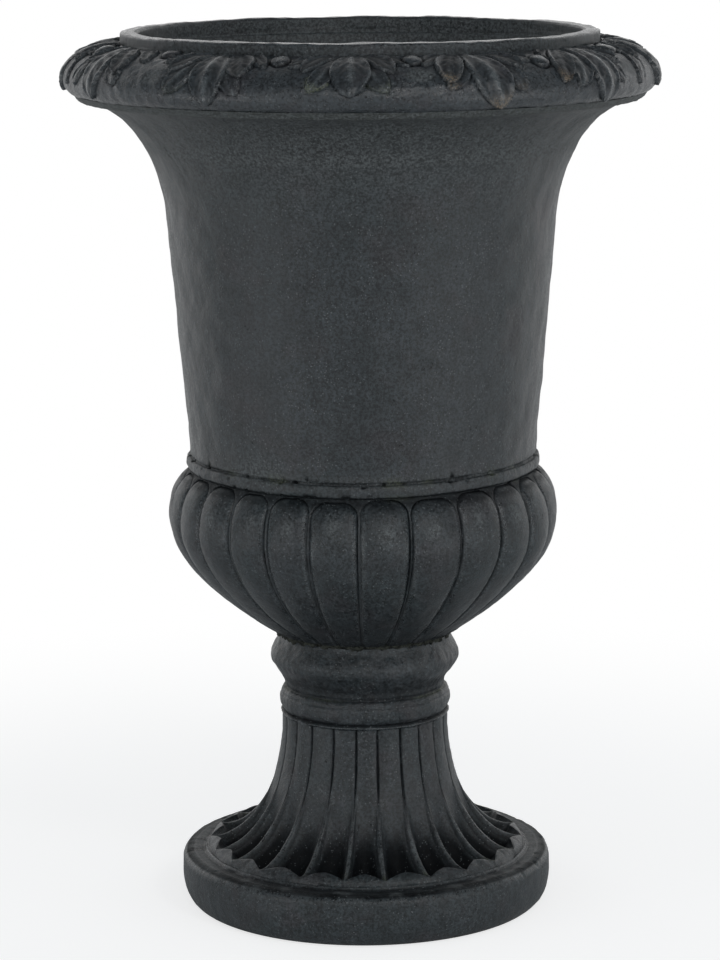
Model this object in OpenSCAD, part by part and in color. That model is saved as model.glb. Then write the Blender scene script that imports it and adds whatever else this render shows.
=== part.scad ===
// Campana urn planter in cast fibre cement: a bowl casting and a foot casting bedded on each other in
// mortar and clamped by a hollow threaded drain tube, with a leafed rim ring bonded round the lip.
// The origin is the centre of the underside, +Z is up and the front faces -Y.

/* [Plinth] */
// Widest radius of the round plinth
plinth_r = 159; // [140:1:180]
// Radius of the face that the urn stands on
stand_r = 147; // [135:1:160]
// Height of the plinth
plinth_h = 45; // [36:1:55]
// Height of the plinth's lower quarter round, where it is widest
plinth_belly_h = 28; // [15:1:32]
// Radius of the plinth's worn top edge
plinth_edge_r = 8; // [2:1:8]
// Inner radius of the plinth's skirt
skirt_in_r = 132; // [110:1:134]
// Height of the skirt's straight inner wall
skirt_in_h = 24; // [10:1:30]

/* [Foot] */
// Number of flutes
flute_count = 22; // [16:2:26]
// Height of the fluted foot above the plinth
foot_h = 117; // [100:1:140]
// Radius at the top of the flutes
foot_neck_r = 72; // [66:1:80]
// Radius of the circle on which the arrises end
flute_tip_r = 135; // [126:1:137]
// Height of the arris tips above the plinth
flute_tip_h = 7; // [4:1:10]
// Radius of the step round the apron
apron_r = 139; // [138:1:144]
// Height of the step round the apron
apron_step_h = 2; // [1:0.5:4]
// Depth of a flute at the top
flute_top_depth = 2; // [1:0.5:4]
// Depth of a flute at its deepest, near the apron
flute_depth = 12; // [5:0.5:13]
// How far the apron's edge draws in behind each flute
scoop_in = 8; // [2:0.5:12]
// Thickness of the foot's wall at the neck
foot_wall = 17; // [14:1:24]
// Thickness of the cap that closes the foot's top
foot_cap_h = 24; // [16:1:40]

/* [Collar and knop] */
// Height of the plain band above the flutes
band_h = 6; // [3:1:10]
// How far the plain band's lower edge stands out over the flutes
band_out = 0.6; // [0.3:0.1:2]
// Height of the collar bead
bead_h = 20; // [12:1:26]
// How far the collar bead stands out from the neck
bead_out = 4.5; // [2:0.5:8]
// Radius of the hollow neck between bead and knop
neck_r = 68.5; // [64:0.5:72]
// Height of the hollow neck
neck_h = 3; // [2:1:10]
// Widest radius of the knop
knop_r = 81; // [76:1:90]
// Height of the knop below its widest line
knop_low_h = 25; // [15:1:35]
// Height of the knop above its widest line
knop_up_h = 19; // [12:1:30]
// Radius of the knop's top face
knop_top_r = 73.5; // [70:0.5:76]

/* [Mortar joint] */
// Thickness of the mortar bed between foot and bowl
joint_h = 3; // [1.5:0.5:6]
// Mean radius of the mortar bed
joint_r = 72; // [60:0.5:73]
// How far the mortar's edge wanders in and out
joint_rag = 1; // [0.2:0.1:2]
// Number of waves round the mortar's edge
joint_waves = 14; // [8:2:24]

/* [Gadrooned bowl] */
// Number of gadroons
lobe_count = 26; // [20:2:30]
// Height of the gadroons below the bowl's widest line
lobe_low_h = 100; // [80:1:120]
// Height of the gadroons above the bowl's widest line
lobe_up_h = 43; // [35:1:55]
// Widest radius of the bowl
bowl_r = 166; // [158:1:180]
// Radius of the bowl's underside
bowl_foot_r = 77; // [75:0.5:84]
// Radius of the bowl under the bead
shoulder_r = 151; // [149:0.5:156]
// Depth of the grooves between gadroons at the widest line
lobe_depth = 9; // [4:0.5:11]
// Height of the rounded tops of the gadroons
lobe_arch_h = 15; // [10:1:26]

/* [Bell, bead and lip] */
// Height of the bead between bowl and bell
torus_h = 11; // [8:1:20]
// How far the bead stands out from the bell
torus_out = 5; // [3:0.5:8]
// Height of the bell from the bead to its flange
bell_h = 304; // [240:1:340]
// Radius of the bell at its waist
waist_r = 146.5; // [144:0.5:149]
// How much the straight bell widens over its height
bell_taper = 26; // [15:1:32]
// Height of the bell's flare
flare_h = 97; // [80:1:130]
// Thickness of the flange at its edge
flange_edge_t = 3; // [1.5:0.5:8]
// Height of the lip's top above the flange
lip_h = 54; // [50:1:62]
// Thickness of the lip
lip_wall = 15; // [10:0.5:17]
// Depth from the lip's top to the ledge inside the mouth
ledge_drop = 15; // [8:1:30]
// How far the ledge reaches in
ledge_w = 3; // [1:0.5:5]
// Thickness of the bowl's and bell's wall
bowl_wall = 14; // [10:0.5:16]
// Thickness of the bowl's floor
floor_h = 30; // [24:1:40]

/* [Rim ring] */
// Number of leaf groups round the rim
leaf_count = 14; // [10:2:18]
// Widest radius of the rolled rim, over the leaves
rim_r = 252.5; // [246:0.5:256]
// Width from the lip's outer face to the rim's widest line
rim_w = 52.5; // [46:0.5:56]
// How far the rim stands out past the bell's flange
rim_overhang = 16.5; // [14:0.5:20]
// Height of the rolled rim, bond included
rim_h = 47; // [42:1:49]
// Height of the roll's lower round
roll_low_r = 14; // [8:1:16]
// How far the leaves stand up from the roll
leaf_relief = 3.5; // [2:0.5:7]
// Thickness of the bonding mortar under and inside the rim ring
bond_t = 1.5; // [0.8:0.1:3]

/* [Drain and clamp] */
// Outer radius of the threaded drain tube
tube_r = 13.2; // [12:0.1:16]
// Radius of the drain tube's bore
bore_r = 10.5; // [8:0.1:11]
// Clearance round the tube in the castings and washers
tube_clearance = 0.3; // [0.1:0.1:1]
// How far the tube stands past each nut
tube_past_nut = 1.5; // [0:0.5:5]
// Radius of the recess in the bowl's floor
recess_r = 42; // [39:1:50]
// Depth of the recess in the bowl's floor
recess_d = 14; // [8:1:16]
// Radius of the steel washers
washer_r = 35; // [30:1:37]
// Thickness of the steel washers
washer_t = 3; // [2:0.5:4]
// Radius of the rubber seal
seal_r = 30; // [24:1:37]
// Thickness of the rubber seal
seal_t = 3; // [2:0.5:4]
// Width of the nuts across their flats
nut_flats = 41; // [36:1:46]
// Height of the nuts
nut_h = 8; // [6:0.5:12]

/* [Hidden] */
$fn = 96;

cement = [0.21, 0.225, 0.235];
rim_cement = [0.19, 0.205, 0.225];
mortar = [0.15, 0.155, 0.15];
zinc = [0.62, 0.63, 0.64];
rubber = [0.06, 0.06, 0.065];

// Heights of the levels where one form ends and the next begins
flute_top_z = plinth_h + foot_h;
bead_z = flute_top_z + band_h;
neck_z = bead_z + bead_h;
knop_z = neck_z + neck_h;
foot_top_z = knop_z + knop_low_h + knop_up_h;
bowl_z = foot_top_z + joint_h;
torus_z = bowl_z + lobe_low_h + lobe_up_h;
bell_z = torus_z + torus_h;
flange_z = bell_z + bell_h;
lip_z = flange_z + lip_h;
floor_z = bowl_z + floor_h;
recess_z = floor_z - recess_d;
cap_z = foot_top_z - foot_cap_h;
rim_top_z = flange_z + rim_h;
lip_r = rim_r - rim_w;
flange_r = rim_r - rim_overhang;
mouth_r = lip_r - lip_wall;
ledge_r = mouth_r - ledge_w;

// Numbers of facets of the relief, per repeat round the urn and up its profile
lobe_steps = 8;
lobe_rows = 16;
flute_steps = 8;
flute_rows = 12;
leaf_steps = 16;
leaf_rows = 14;
joint_steps = 6;
curve_steps = 24;
// The relief's solids run this far into the plain solid that they join
lap = 3;

// Eases from 0 to 1 with flat ends, as a moulding's curve does
function ease(u) = (1 - cos(180 * u)) / 2;
function clamp01(u) = max(0, min(1, u));
function mix(a, b, u) = a + (b - a) * u;
// Place inside one repeat of a pattern, from -1 to 1, with 0 at its middle
function repeat_place(step, steps) = 2 * (step % steps) / steps - 1;
// The same, but crowded towards the repeat's two ends, and the step of n that lies there
crowding = 0.6;
function crowded(t) = mix(t, sin(90 * t), crowding);
function crowded_step(step, steps) =
    step - step % steps + steps * (crowded(repeat_place(step, steps)) + 1) / 2;

// Radius of the gadroons' crest at height h above the bowl's underside
lobe_low_power = 1.85;
lobe_up_power = 2.1;
function crest_r(h) = h < lobe_low_h
    ? bowl_r - (bowl_r - bowl_foot_r) * pow((lobe_low_h - h) / lobe_low_h, lobe_low_power)
    : bowl_r - (bowl_r - shoulder_r) * pow((h - lobe_low_h) / lobe_up_h, lobe_up_power);

// Share of the groove's depth that is filled at place t of a gadroon whose sides stand at -w and w
lobe_round = 3.5;
function lobe_fill(t, w) = abs(t) < w ? sqrt(1 - pow(abs(t) / w, lobe_round)) : 0;
// A gadroon's top is a rounded rectangle: above 2, this squares its corners
arch_square = 2.6;
function arch_w(h) = let (u = clamp01((h - lobe_low_h - lobe_up_h + lobe_arch_h) / lobe_arch_h))
    pow(1 - pow(u, arch_square), 1 / arch_square);
function groove_depth(h) = lobe_depth * crest_r(h) / bowl_r;
function lobe_surface_r(h, t) = crest_r(h) - groove_depth(h) * (1 - lobe_fill(t, arch_w(h)));

// Radius of the bell at height h above the bead
bend_h = bell_h - flange_edge_t;
flare_out = flange_r - waist_r - bell_taper;
function flare(u) = flare_out * (1 - sqrt(1 - pow(clamp01(u), 2)));
function bell_r(h) = waist_r + bell_taper * h / bell_h + flare((h - bend_h + flare_h) / flare_h);

// Point of the arris curve, a quarter ellipse from the neck out to the tips, as [radius, height]
arris_w = flute_tip_r - foot_neck_r;
arris_h = foot_h - flute_tip_h;
function arris(a) = [foot_neck_r + arris_w * (1 - cos(a)), flute_top_z - arris_h * sin(a)];
// The apron draws in only near its edge, so the draw grows with a high power of the sine
draw_power = 12;
function draw_in(a, t) = [scoop_in * (1 - abs(t)) * pow(sin(a), draw_power), 0];
function arris_inward(a) = let (n = [-arris_h * cos(a), -arris_w * sin(a)]) n / norm(n);
// A flute deepens as it runs down, and closes again in a scoop under the apron's edge
scoop_start = 66;
deepen_power = 3;
function flute_depth_at(a) = a < scoop_start
    ? mix(flute_top_depth, flute_depth, pow(sin(a) / sin(scoop_start), deepen_power))
    : flute_depth * sqrt(max(0, 1 - pow((a - scoop_start) / (90 - scoop_start), 2)));
function flute_point(a, t) = arris(a) - draw_in(a, t) + arris_inward(a) * flute_depth_at(a) * (1 - t * t);

// Section of the roll over the leaves, as [radius, height], from just inside the ring's bore at u = 0
// to the underside at u = 1: a flat quarter ellipse, then a small round
roll_in_r = lip_r + bond_t;
roll_start_r = roll_in_r - lap;
roll_mid_z = flange_z + bond_t + roll_low_r;
roll_turn = 0.78;
function roll_point(u, cut) = u < roll_turn
    ? let (a = 90 * (1 - u / roll_turn))
      [roll_start_r + (rim_r - roll_start_r - cut) * cos(a),
       roll_mid_z + (rim_top_z - roll_mid_z - cut) * sin(a)]
    : let (a = 90 * (u - roll_turn) / (1 - roll_turn))
      [rim_r - cut - roll_low_r + roll_low_r * cos(a), roll_mid_z - roll_low_r * sin(a)];

// Relief of the leaves at place t across a group and u along the roll, from 0 to 1. Their sizes are in
// half spans of a group, and their roots are given as [across, down] from the middle of the group's top.
leaf_end = 0.74;
edge_drop = 0.5;
// Below 1, this puts a leaf's widest line nearer its root
leaf_belly = 0.8;
// Each leaf: its root, its angle out of the way down, half its width, its length and its height
middle_leaf = [[0, -0.05], 0, 0.25, 1.06, 1];
side_leaf = [[0.1, -0.05], 27, 0.2, 0.88, 0.9];
under_leaf = [[0.2, 0.05], 26, 0.18, 1.02, 0.5];
// The pod between two groups: how far down it sits, half its width, half its length and its height
pod_down = 0.4;
pod_wide = 0.15;
pod_long = 0.3;
pod_height = 0.9;
function leaf(x, y, shape) =
    let (root = shape[0], a = shape[1],
         along = ((x - root[0]) * sin(a) + (y - root[1]) * cos(a)) / shape[3],
         across = abs((x - root[0]) * cos(a) - (y - root[1]) * sin(a)),
         half = shape[2] * sin(180 * pow(clamp01(along), leaf_belly)))
    across < half ? shape[4] * (1 - edge_drop * across / half) : 0;
function pod(x, y) = let (d = norm([(1 - x) / pod_wide, (y - pod_down) / pod_long]))
    d < 1 ? pod_height * sqrt(1 - d * d) : 0;
function leaves(t, u) = let (x = abs(t), y = u / leaf_end)
    y > 1 ? 0 : max(leaf(x, y, middle_leaf), leaf(x, y, side_leaf), leaf(x, y, under_leaf), pod(x, y));

// Circle of points at angle step k of n, with radius r and height z
function on_circle(r, z, k, n) = [r * sin(360 * k / n), -r * cos(360 * k / n), z];

// Closed solid whose surface is a stack of rings of n points, with a flat face below and above
module ring_stack(rings) {
    n = len(rings[0]);
    rows = len(rings);
    points = concat([for (ring = rings) each ring], [[0, 0, rings[0][0][2]], [0, 0, rings[rows - 1][0][2]]]);
    sides = [for (j = [0:rows - 2], k = [0:n - 1]) [j * n + k, j * n + (k + 1) % n]];
    faces = concat(
        [for (side = sides) [side[0], side[0] + n, side[1]]],
        [for (side = sides) [side[1], side[0] + n, side[1] + n]],
        [for (k = [0:n - 1]) [rows * n, k, (k + 1) % n]],
        [for (k = [0:n - 1]) [rows * n + 1, (rows - 1) * n + (k + 1) % n, (rows - 1) * n + k]]);
    polyhedron(points, faces, convexity = 6);
}

// The gadrooned drum, from the bowl's underside to just inside the bead
module gadroons() {
    n = lobe_count * lobe_steps;
    top = lobe_low_h + lobe_up_h;
    function place(k) = crowded(repeat_place(k, lobe_steps));
    function step(k) = crowded_step(k, lobe_steps);
    ring_stack(concat(
        [for (j = [0:lobe_rows]) let (h = top * sin(90 * j / lobe_rows))
            [for (k = [0:n - 1]) on_circle(lobe_surface_r(h, place(k)), bowl_z + h, step(k), n)]],
        [[for (k = [0:n - 1]) on_circle(waist_r - lap, torus_z + lap, step(k), n)]]));
}

// Outline of the bead, bell, flange and lip, as [radius, height] from the axis out and up
function bell_outline() = concat(
    [[0, torus_z - lap], [waist_r - 2 * lap, torus_z - lap], [waist_r - 2 * lap, torus_z]],
    [for (a = [-90:15:90]) [waist_r + torus_out * cos(a), torus_z + torus_h * (1 + sin(a)) / 2]],
    [for (k = [0:curve_steps]) let (h = bend_h - flare_h + flare_h * sin(90 * k / curve_steps))
        [bell_r(h), bell_z + h]],
    [[flange_r, flange_z], [lip_r, flange_z], [lip_r, lip_z], [0, lip_z]]);

// Inner wall of the bowl at height h above its underside
function inside_r(h) = h < lobe_low_h + lobe_up_h
    ? crest_r(h) - groove_depth(h) - bowl_wall
    : min(ledge_r, bell_r(h - lobe_low_h - lobe_up_h - torus_h) - bowl_wall);
function cavity_outline() = let (join = lobe_low_h + lobe_up_h, top = flange_z - bowl_z) concat(
    [[0, floor_z]],
    [for (k = [0:curve_steps]) let (h = mix(floor_h, join, k / curve_steps)) [inside_r(h), bowl_z + h]],
    [for (k = [0:curve_steps]) let (h = mix(join + torus_h, top, k / curve_steps))
        [inside_r(h), bowl_z + h]],
    [[ledge_r, lip_z - ledge_drop], [mouth_r, lip_z - ledge_drop], [mouth_r, lip_z + lap], [0, lip_z + lap]]);

module tube_hole(z0, z1) {
    translate([0, 0, z0]) cylinder(r = tube_r + tube_clearance, h = z1 - z0);
}

module bowl_shell() {
    color(cement) difference() {
        union() {
            gadroons();
            rotate_extrude() polygon(bell_outline());
        }
        rotate_extrude() polygon(cavity_outline());
        translate([0, 0, recess_z]) cylinder(r = recess_r, h = floor_z - recess_z + lap);
        tube_hole(bowl_z - lap, floor_z);
    }
}

module rim_ring() {
    n = leaf_count * leaf_steps;
    function place(k) = repeat_place(k + leaf_steps / 2, leaf_steps);
    function relief(u, t) = leaf_relief * (1 - leaves(t, u));
    color(rim_cement) difference() {
        ring_stack([for (j = [leaf_rows:-1:0]) let (u = j / leaf_rows)
            [for (k = [0:n - 1]) let (p = roll_point(u, relief(u, place(k)))) on_circle(p[0], p[1], k, n)]]);
        translate([0, 0, flange_z - lap]) cylinder(r = roll_in_r, h = rim_h + 2 * lap);
    }
}

// An L-shaped bed: flat on the flange and upright against the lip
module rim_bond() {
    bed_r = flange_r - 2 * bond_t;
    color(mortar) rotate_extrude() polygon([
        [lip_r, flange_z], [bed_r, flange_z], [bed_r, flange_z + bond_t], [roll_in_r, flange_z + bond_t],
        [roll_in_r, rim_top_z - leaf_relief], [lip_r, rim_top_z - leaf_relief]]);
}

// The plain turned forms above the flutes: band, collar bead, neck and knop
function turned_outline() = concat(
    [[0, flute_top_z - lap], [foot_neck_r - 2 * lap, flute_top_z - lap], [foot_neck_r - 2 * lap, flute_top_z],
     [foot_neck_r + band_out, flute_top_z], [foot_neck_r - flute_top_depth / 2, bead_z]],
    [for (a = [-75:15:90]) [neck_r + bead_out * cos(a), bead_z + bead_h * (1 + sin(a)) / 2]],
    [for (k = [0:curve_steps]) let (u = k / curve_steps)
        [mix(neck_r, knop_r, ease(u)), knop_z + knop_low_h * u]],
    [for (k = [1:curve_steps]) let (u = k / curve_steps)
        [mix(knop_r, knop_top_r, ease(u)), knop_z + knop_low_h + knop_up_h * u]],
    [[0, foot_top_z]]);

function plinth_outline() = concat(
    [[0, 0], [stand_r, 0]],
    [for (a = [10:10:90]) [mix(stand_r, plinth_r, sin(a)), plinth_belly_h * (1 - cos(a))]],
    [for (a = [0:15:90]) [plinth_r - plinth_edge_r * (1 - cos(a)), plinth_h - plinth_edge_r * (1 - sin(a))]],
    [[apron_r, plinth_h], [apron_r, plinth_h + apron_step_h], [0, plinth_h + apron_step_h]]);

// The fluted foot with the apron that its arrises end on
module flutes() {
    n = flute_count * flute_steps;
    function place(k) = repeat_place(k + flute_steps / 2, flute_steps);
    ring_stack(concat(
        [[for (k = [0:n - 1]) on_circle(apron_r - lap, plinth_h, k, n)]],
        [[for (k = [0:n - 1]) on_circle(apron_r - lap, plinth_h + apron_step_h + flute_tip_h / 4, k, n)]],
        [for (j = [flute_rows:-1:0]) let (a = 90 * j / flute_rows)
            [for (k = [0:n - 1]) let (p = flute_point(a, place(k))) on_circle(p[0], p[1], k, n)]]));
}

// Hollow of the foot: the skirt's straight wall, then a curve that follows the flutes
function hollow_outline() = let (narrow = neck_r - foot_wall, rise = flute_top_z - skirt_in_h) concat(
    [[0, -lap], [skirt_in_r, -lap], [skirt_in_r, skirt_in_h]],
    [for (k = [1:curve_steps]) let (a = 90 * (1 - k / curve_steps))
        [mix(narrow, skirt_in_r, 1 - cos(a)), flute_top_z - rise * sin(a)]],
    [[narrow, cap_z], [0, cap_z]]);

module pedestal_shell() {
    color(cement) difference() {
        union() {
            rotate_extrude() polygon(plinth_outline());
            flutes();
            rotate_extrude() polygon(turned_outline());
        }
        rotate_extrude() polygon(hollow_outline());
        tube_hole(cap_z - lap, foot_top_z + lap);
    }
}

module neck_mortar() {
    n = joint_waves * joint_steps;
    color(mortar) difference() {
        translate([0, 0, foot_top_z]) linear_extrude(joint_h) polygon([for (k = [0:n - 1])
            let (a = 360 * k / n, r = joint_r + joint_rag * sin(a * joint_waves)) [r * cos(a), r * sin(a)]]);
        tube_hole(foot_top_z - lap, bowl_z + lap);
    }
}

// Flat ring with its underside at height z
module flat_ring(z, r, t) {
    translate([0, 0, z]) difference() {
        cylinder(r = r, h = t);
        translate([0, 0, -lap]) cylinder(r = tube_r + tube_clearance, h = t + 2 * lap);
    }
}

module hex_nut(z) {
    translate([0, 0, z]) difference() {
        cylinder(r = nut_flats / 2 / cos(30), h = nut_h, $fn = 6);
        translate([0, 0, -lap]) cylinder(r = tube_r, h = nut_h + 2 * lap);
    }
}

seal_z = recess_z;
floor_washer_z = seal_z + seal_t;
floor_nut_z = floor_washer_z + washer_t;
foot_washer_z = cap_z - washer_t;
foot_nut_z = foot_washer_z - nut_h;

module drain_tube() {
    low = foot_nut_z - tube_past_nut;
    high = floor_nut_z + nut_h + tube_past_nut;
    color(zinc) translate([0, 0, low]) difference() {
        cylinder(r = tube_r, h = high - low);
        translate([0, 0, -lap]) cylinder(r = bore_r, h = high - low + 2 * lap);
    }
}

module floor_seal() { color(rubber) flat_ring(seal_z, seal_r, seal_t); }
module floor_washer() { color(zinc) flat_ring(floor_washer_z, washer_r, washer_t); }
module floor_nut() { color(zinc) hex_nut(floor_nut_z); }
module foot_washer() { color(zinc) flat_ring(foot_washer_z, washer_r, washer_t); }
module foot_nut() { color(zinc) hex_nut(foot_nut_z); }

bowl_shell();
rim_ring();
rim_bond();
pedestal_shell();
neck_mortar();
drain_tube();
floor_seal();
floor_washer();
floor_nut();
foot_washer();
foot_nut();
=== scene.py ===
# %% [markdown]
# # A campana urn, from its casting to its patina
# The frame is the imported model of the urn: eleven pieces with their real sizes, all in one place.
# Everything that this lesson builds sits in that frame, in metres, with the origin under the middle
# of the plinth, +Z up and the front towards -Y. The castings are made here again as dense meshes,
# because their leaves, gadroons and flutes are shapes that were carved by hand and cast in cement.

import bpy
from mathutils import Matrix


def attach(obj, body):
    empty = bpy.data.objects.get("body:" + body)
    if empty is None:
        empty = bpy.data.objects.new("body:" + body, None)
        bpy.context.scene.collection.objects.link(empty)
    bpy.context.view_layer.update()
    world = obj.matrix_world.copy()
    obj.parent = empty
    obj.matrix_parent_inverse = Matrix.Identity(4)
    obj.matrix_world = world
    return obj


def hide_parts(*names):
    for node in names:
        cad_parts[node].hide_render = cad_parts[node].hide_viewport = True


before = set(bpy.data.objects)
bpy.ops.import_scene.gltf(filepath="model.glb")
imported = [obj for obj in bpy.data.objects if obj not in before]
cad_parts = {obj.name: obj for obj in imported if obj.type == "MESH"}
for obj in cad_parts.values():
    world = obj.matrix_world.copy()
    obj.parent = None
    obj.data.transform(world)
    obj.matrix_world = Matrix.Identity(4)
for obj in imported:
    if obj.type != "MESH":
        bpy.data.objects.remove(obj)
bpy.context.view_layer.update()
print("nodes in the frame:", ", ".join(sorted(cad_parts)))

# %% Modules and units
import math

import bpy
import numpy as np
from mathutils import Matrix, Vector

MM = 0.001

# %% [markdown]
# ## Soft numbers
# Carving and masks are written with two curves all through this lesson: a smooth step from 0 to 1,
# and a soft peak round one value. Angles round the urn are counted from the front.

# %% A step, a peak and a turn
def ease(value, low=0.0, high=1.0):
    """A smooth step from 0 at low to 1 at high."""
    share = np.clip((value - low) / (high - low), 0, 1)
    return share * share * (3 - 2 * share)


def peak(value, middle, width, power=2):
    """A soft peak, 1 at the middle and almost 0 from two widths away."""
    return np.exp(-np.abs((value - middle) / width) ** power)


def turn_from(angles, middle=0.0):
    """Degrees from the middle, between -180 and 180, of angles in radians."""
    return (np.degrees(angles) - middle + 180) % 360 - 180


print("steps at 0.25 and 0.5:", ease(0.25).round(3), ease(0.5),
      "and a peak one width off:", peak(1, 0, 1).round(3))

# %% [markdown]
# ## Turned forms
# The urn's mould was turned on an axis, so each casting starts from an outline in the plane of
# radius and height. An outline is a list of runs, each resampled at its own gap: close together
# where there is carving, further apart on plain walls. It goes up the outside, in over the top, down
# the inside and out along the underside, and closes on itself, so that the piece is a real shell.

# %% Outlines made of runs
def resampled(points, gap):
    """The run of points in mm, evenly spaced at about the gap, with both of its ends kept."""
    points = np.asarray(points, float)
    lengths = np.r_[0, np.cumsum(np.hypot(*np.diff(points, axis=0).T))]
    places = np.linspace(0, lengths[-1], max(1, round(lengths[-1] / gap)) + 1)
    return np.stack([np.interp(places, lengths, axis) for axis in points.T], -1)


def beside(radius, height, *offsets):
    """Points in mm that lie beside a radius and height by the given offsets."""
    return [(radius + out, height + up) for out, up in offsets]


def arc(radius, height, wide, tall, start, end, count=30):
    """Points of an ellipse round (radius, height), from start to end in degrees."""
    turn = np.radians(np.linspace(start, end, count))
    return np.c_[radius + wide * np.cos(turn), height + tall * np.sin(turn)]


def turned(runs, angles):
    """Radii and heights by row and column for runs (name, points, gap), and the rows of each run."""
    rows, rows_of = [], {}
    for name, points, gap in runs:
        run = resampled(points, gap)[:-1]
        rows_of[name] = slice(len(rows), len(rows) + len(run))
        rows.extend(run)
    radii, heights = np.repeat(np.array(rows).T[:, :, None], len(angles), 2)
    return radii, heights, rows_of


def on_runs(rows_of, *names):
    """A column with 1 on the rows of the named runs, and 0 elsewhere."""
    marks = np.zeros((max(rows.stop for rows in rows_of.values()), 1))
    for name in names:
        marks[rows_of[name]] = 1
    return marks


print("a 20 mm run at a gap of 6 mm has", len(resampled([(0, 0), (0, 20)], 6)), "points")

# %% [markdown]
# ## Unevenness of a hand-made thing
# Nothing on the urn is quite round or quite straight. The sum of some plane waves with seeded
# directions gives a smooth field in space that is the same on each run, and it moves the surface a
# few tenths of a millimetre in or out. Close to the faces where pieces meet, the field fades away.

# %% Fields of lumps
def lumps(points, size, seed, waves=26):
    """Smooth field at points in mm: bumps about size mm apart, mostly between -1 and 1."""
    draw = np.random.default_rng(seed)
    directions = draw.normal(size=(waves, 3))
    directions /= np.linalg.norm(directions, axis=1)[:, None]
    rates = 2 * math.pi / size * draw.uniform(0.6, 1.5, waves)
    phases = draw.uniform(0, 2 * math.pi, waves)
    total = np.zeros(points.shape[:-1])
    for direction, rate, phase in zip(directions, rates, phases):
        total += np.sin(rate * (points @ direction) + phase)
    return total / math.sqrt(2 * waves)


print("lumps at the origin with seeds 1 to 3:",
      [float(lumps(np.zeros(3), 30, seed).round(2)) for seed in (1, 2, 3)])

# %% [markdown]
# ## From rows and columns to a piece
# Rows follow the outline and columns go round the axis, so a casting is one closed grid of quads,
# with no poles and no open edges. A modifier stack could displace a lathe mesh too, but carving
# needs exact control of every row, and numpy gives that. Each piece also carries masks as mesh
# attributes: where it is raised and worn or has a painted highlight, where its hollows get painted
# shade, where it is rough, rubbed bare or limed, and where it is pale with bloom or painted light.

# %% Grids round the axis
def around(radii, heights, angles):
    """Points in mm of a grid: radius and height for each row and column, angle for each column."""
    radii, heights, angles = np.broadcast_arrays(radii, heights, angles[None, :])
    return np.stack([radii * np.sin(angles), -radii * np.cos(angles), heights], -1)


def pushed_out(grid, amount):
    """A closed grid, moved outwards along its normals by an amount in mm at each point."""
    normals = np.cross(np.roll(grid, -1, 1) - np.roll(grid, 1, 1),
                       np.roll(grid, -1, 0) - np.roll(grid, 1, 0))
    normals /= np.maximum(np.linalg.norm(normals, axis=2), 1e-9)[:, :, None]
    return grid + normals * amount[:, :, None]


def make_piece(name, grid, node, masks=None, sharp=60):
    """A piece from a closed grid in mm. It takes the node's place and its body."""
    rows, columns = grid.shape[:2]
    row, column = np.meshgrid(np.arange(rows), np.arange(columns), indexing="ij")
    row_after, column_after = (row + 1) % rows, (column + 1) % columns
    corners = (row, column), (row, column_after), (row_after, column_after), (row_after, column)
    faces = np.stack([down * columns + across for down, across in corners], -1).reshape(-1, 4)
    mesh = bpy.data.meshes.new(name)
    mesh.from_pydata((grid.reshape(-1, 3) * MM).tolist(), [], faces.tolist())
    mesh.shade_smooth()
    mesh.set_sharp_from_angle(angle=math.radians(sharp))
    for mask_name, values in (masks or {}).items():
        values = np.broadcast_to(np.clip(values, 0, 1), (rows, columns))
        mesh.attributes.new(mask_name, "FLOAT", "POINT").data.foreach_set(
            "value", np.ascontiguousarray(values, np.float32).ravel())
    piece = bpy.data.objects.new(name, mesh)
    bpy.context.scene.collection.objects.link(piece)
    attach(piece, "root")
    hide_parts(node)
    print(f"{name}: {rows} rows, {columns} columns, {len(mesh.polygons)} faces, stands for {node}")
    return piece


# %% [markdown]
# ## Uneven repeats
# Gadroons, flutes and leaf groups repeat round the urn, but each was cut by hand, so their seams
# wander by up to a degree or two. Each repeat gets its own columns, which crowd towards its seams,
# where the surface turns quickly. The place then runs from -1 to 1 across each repeat.

# %% Columns of a pattern
def wandering_seams(count, first, drift, seen_drift):
    """Seams in degrees, evenly spaced from first, each drifted, the seen ones as they are seen."""
    drift[list(seen_drift)] = list(seen_drift.values())
    return first + np.arange(count) * 360 / count + drift


def pattern_columns(seams, steps, crowding):
    """Angle of each column, its place in its repeat, its repeat's number and its nearer seam's."""
    ends = np.append(seams[1:], seams[0] + 360)
    even = 2 * np.arange(steps) / steps - 1
    place = (1 - crowding) * even + crowding * np.sin(even * math.pi / 2)
    middle, half = (seams + ends) / 2, (ends - seams) / 2
    angles = np.radians((middle[:, None] + half[:, None] * place).ravel())
    place, number = np.tile(place, len(seams)), np.repeat(np.arange(len(seams)), steps)
    return angles, place, number, np.where(place < 0, number, (number + 1) % len(seams))


print("columns of two repeats:", np.degrees(pattern_columns(np.array([0, 180]), 4, 0.5)[0]).round(1))

# %% [markdown]
# ## The bowl casting
# The upper half of the urn is one hollow casting: 26 gadroons swell from the joint to the bead, a
# tall bell flares to a flange under the rim, and a plain lip stands up inside the rim. Heights are
# in mm over the ground, and those of the gadroons and the bell over their own lower ends.

# %% The gadroons' outline
BOWL_Z, TORUS_Z, BELL_Z, FLANGE_Z, LIP_Z = 238, 381, 392, 696, 750
LOBE_LOW, LOBE_TOPS, LOBE_HIGH, LEDGE_DROP = 100, 118, 143, 4.2
BOWL_R, BOWL_FOOT_R, SHOULDER_R, LOBE_INSET = 166, 77, 151, 9


def crest_radius(height):
    """Radius of the gadroons' crest at a height above the bowl's underside."""
    below = np.clip((LOBE_LOW - height) / LOBE_LOW, 0, 1)
    above = np.clip((height - LOBE_LOW) / (LOBE_HIGH - LOBE_LOW), 0, 1)
    return BOWL_R - (BOWL_R - BOWL_FOOT_R) * below ** 1.85 - (BOWL_R - SHOULDER_R) * above ** 2.1


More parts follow.
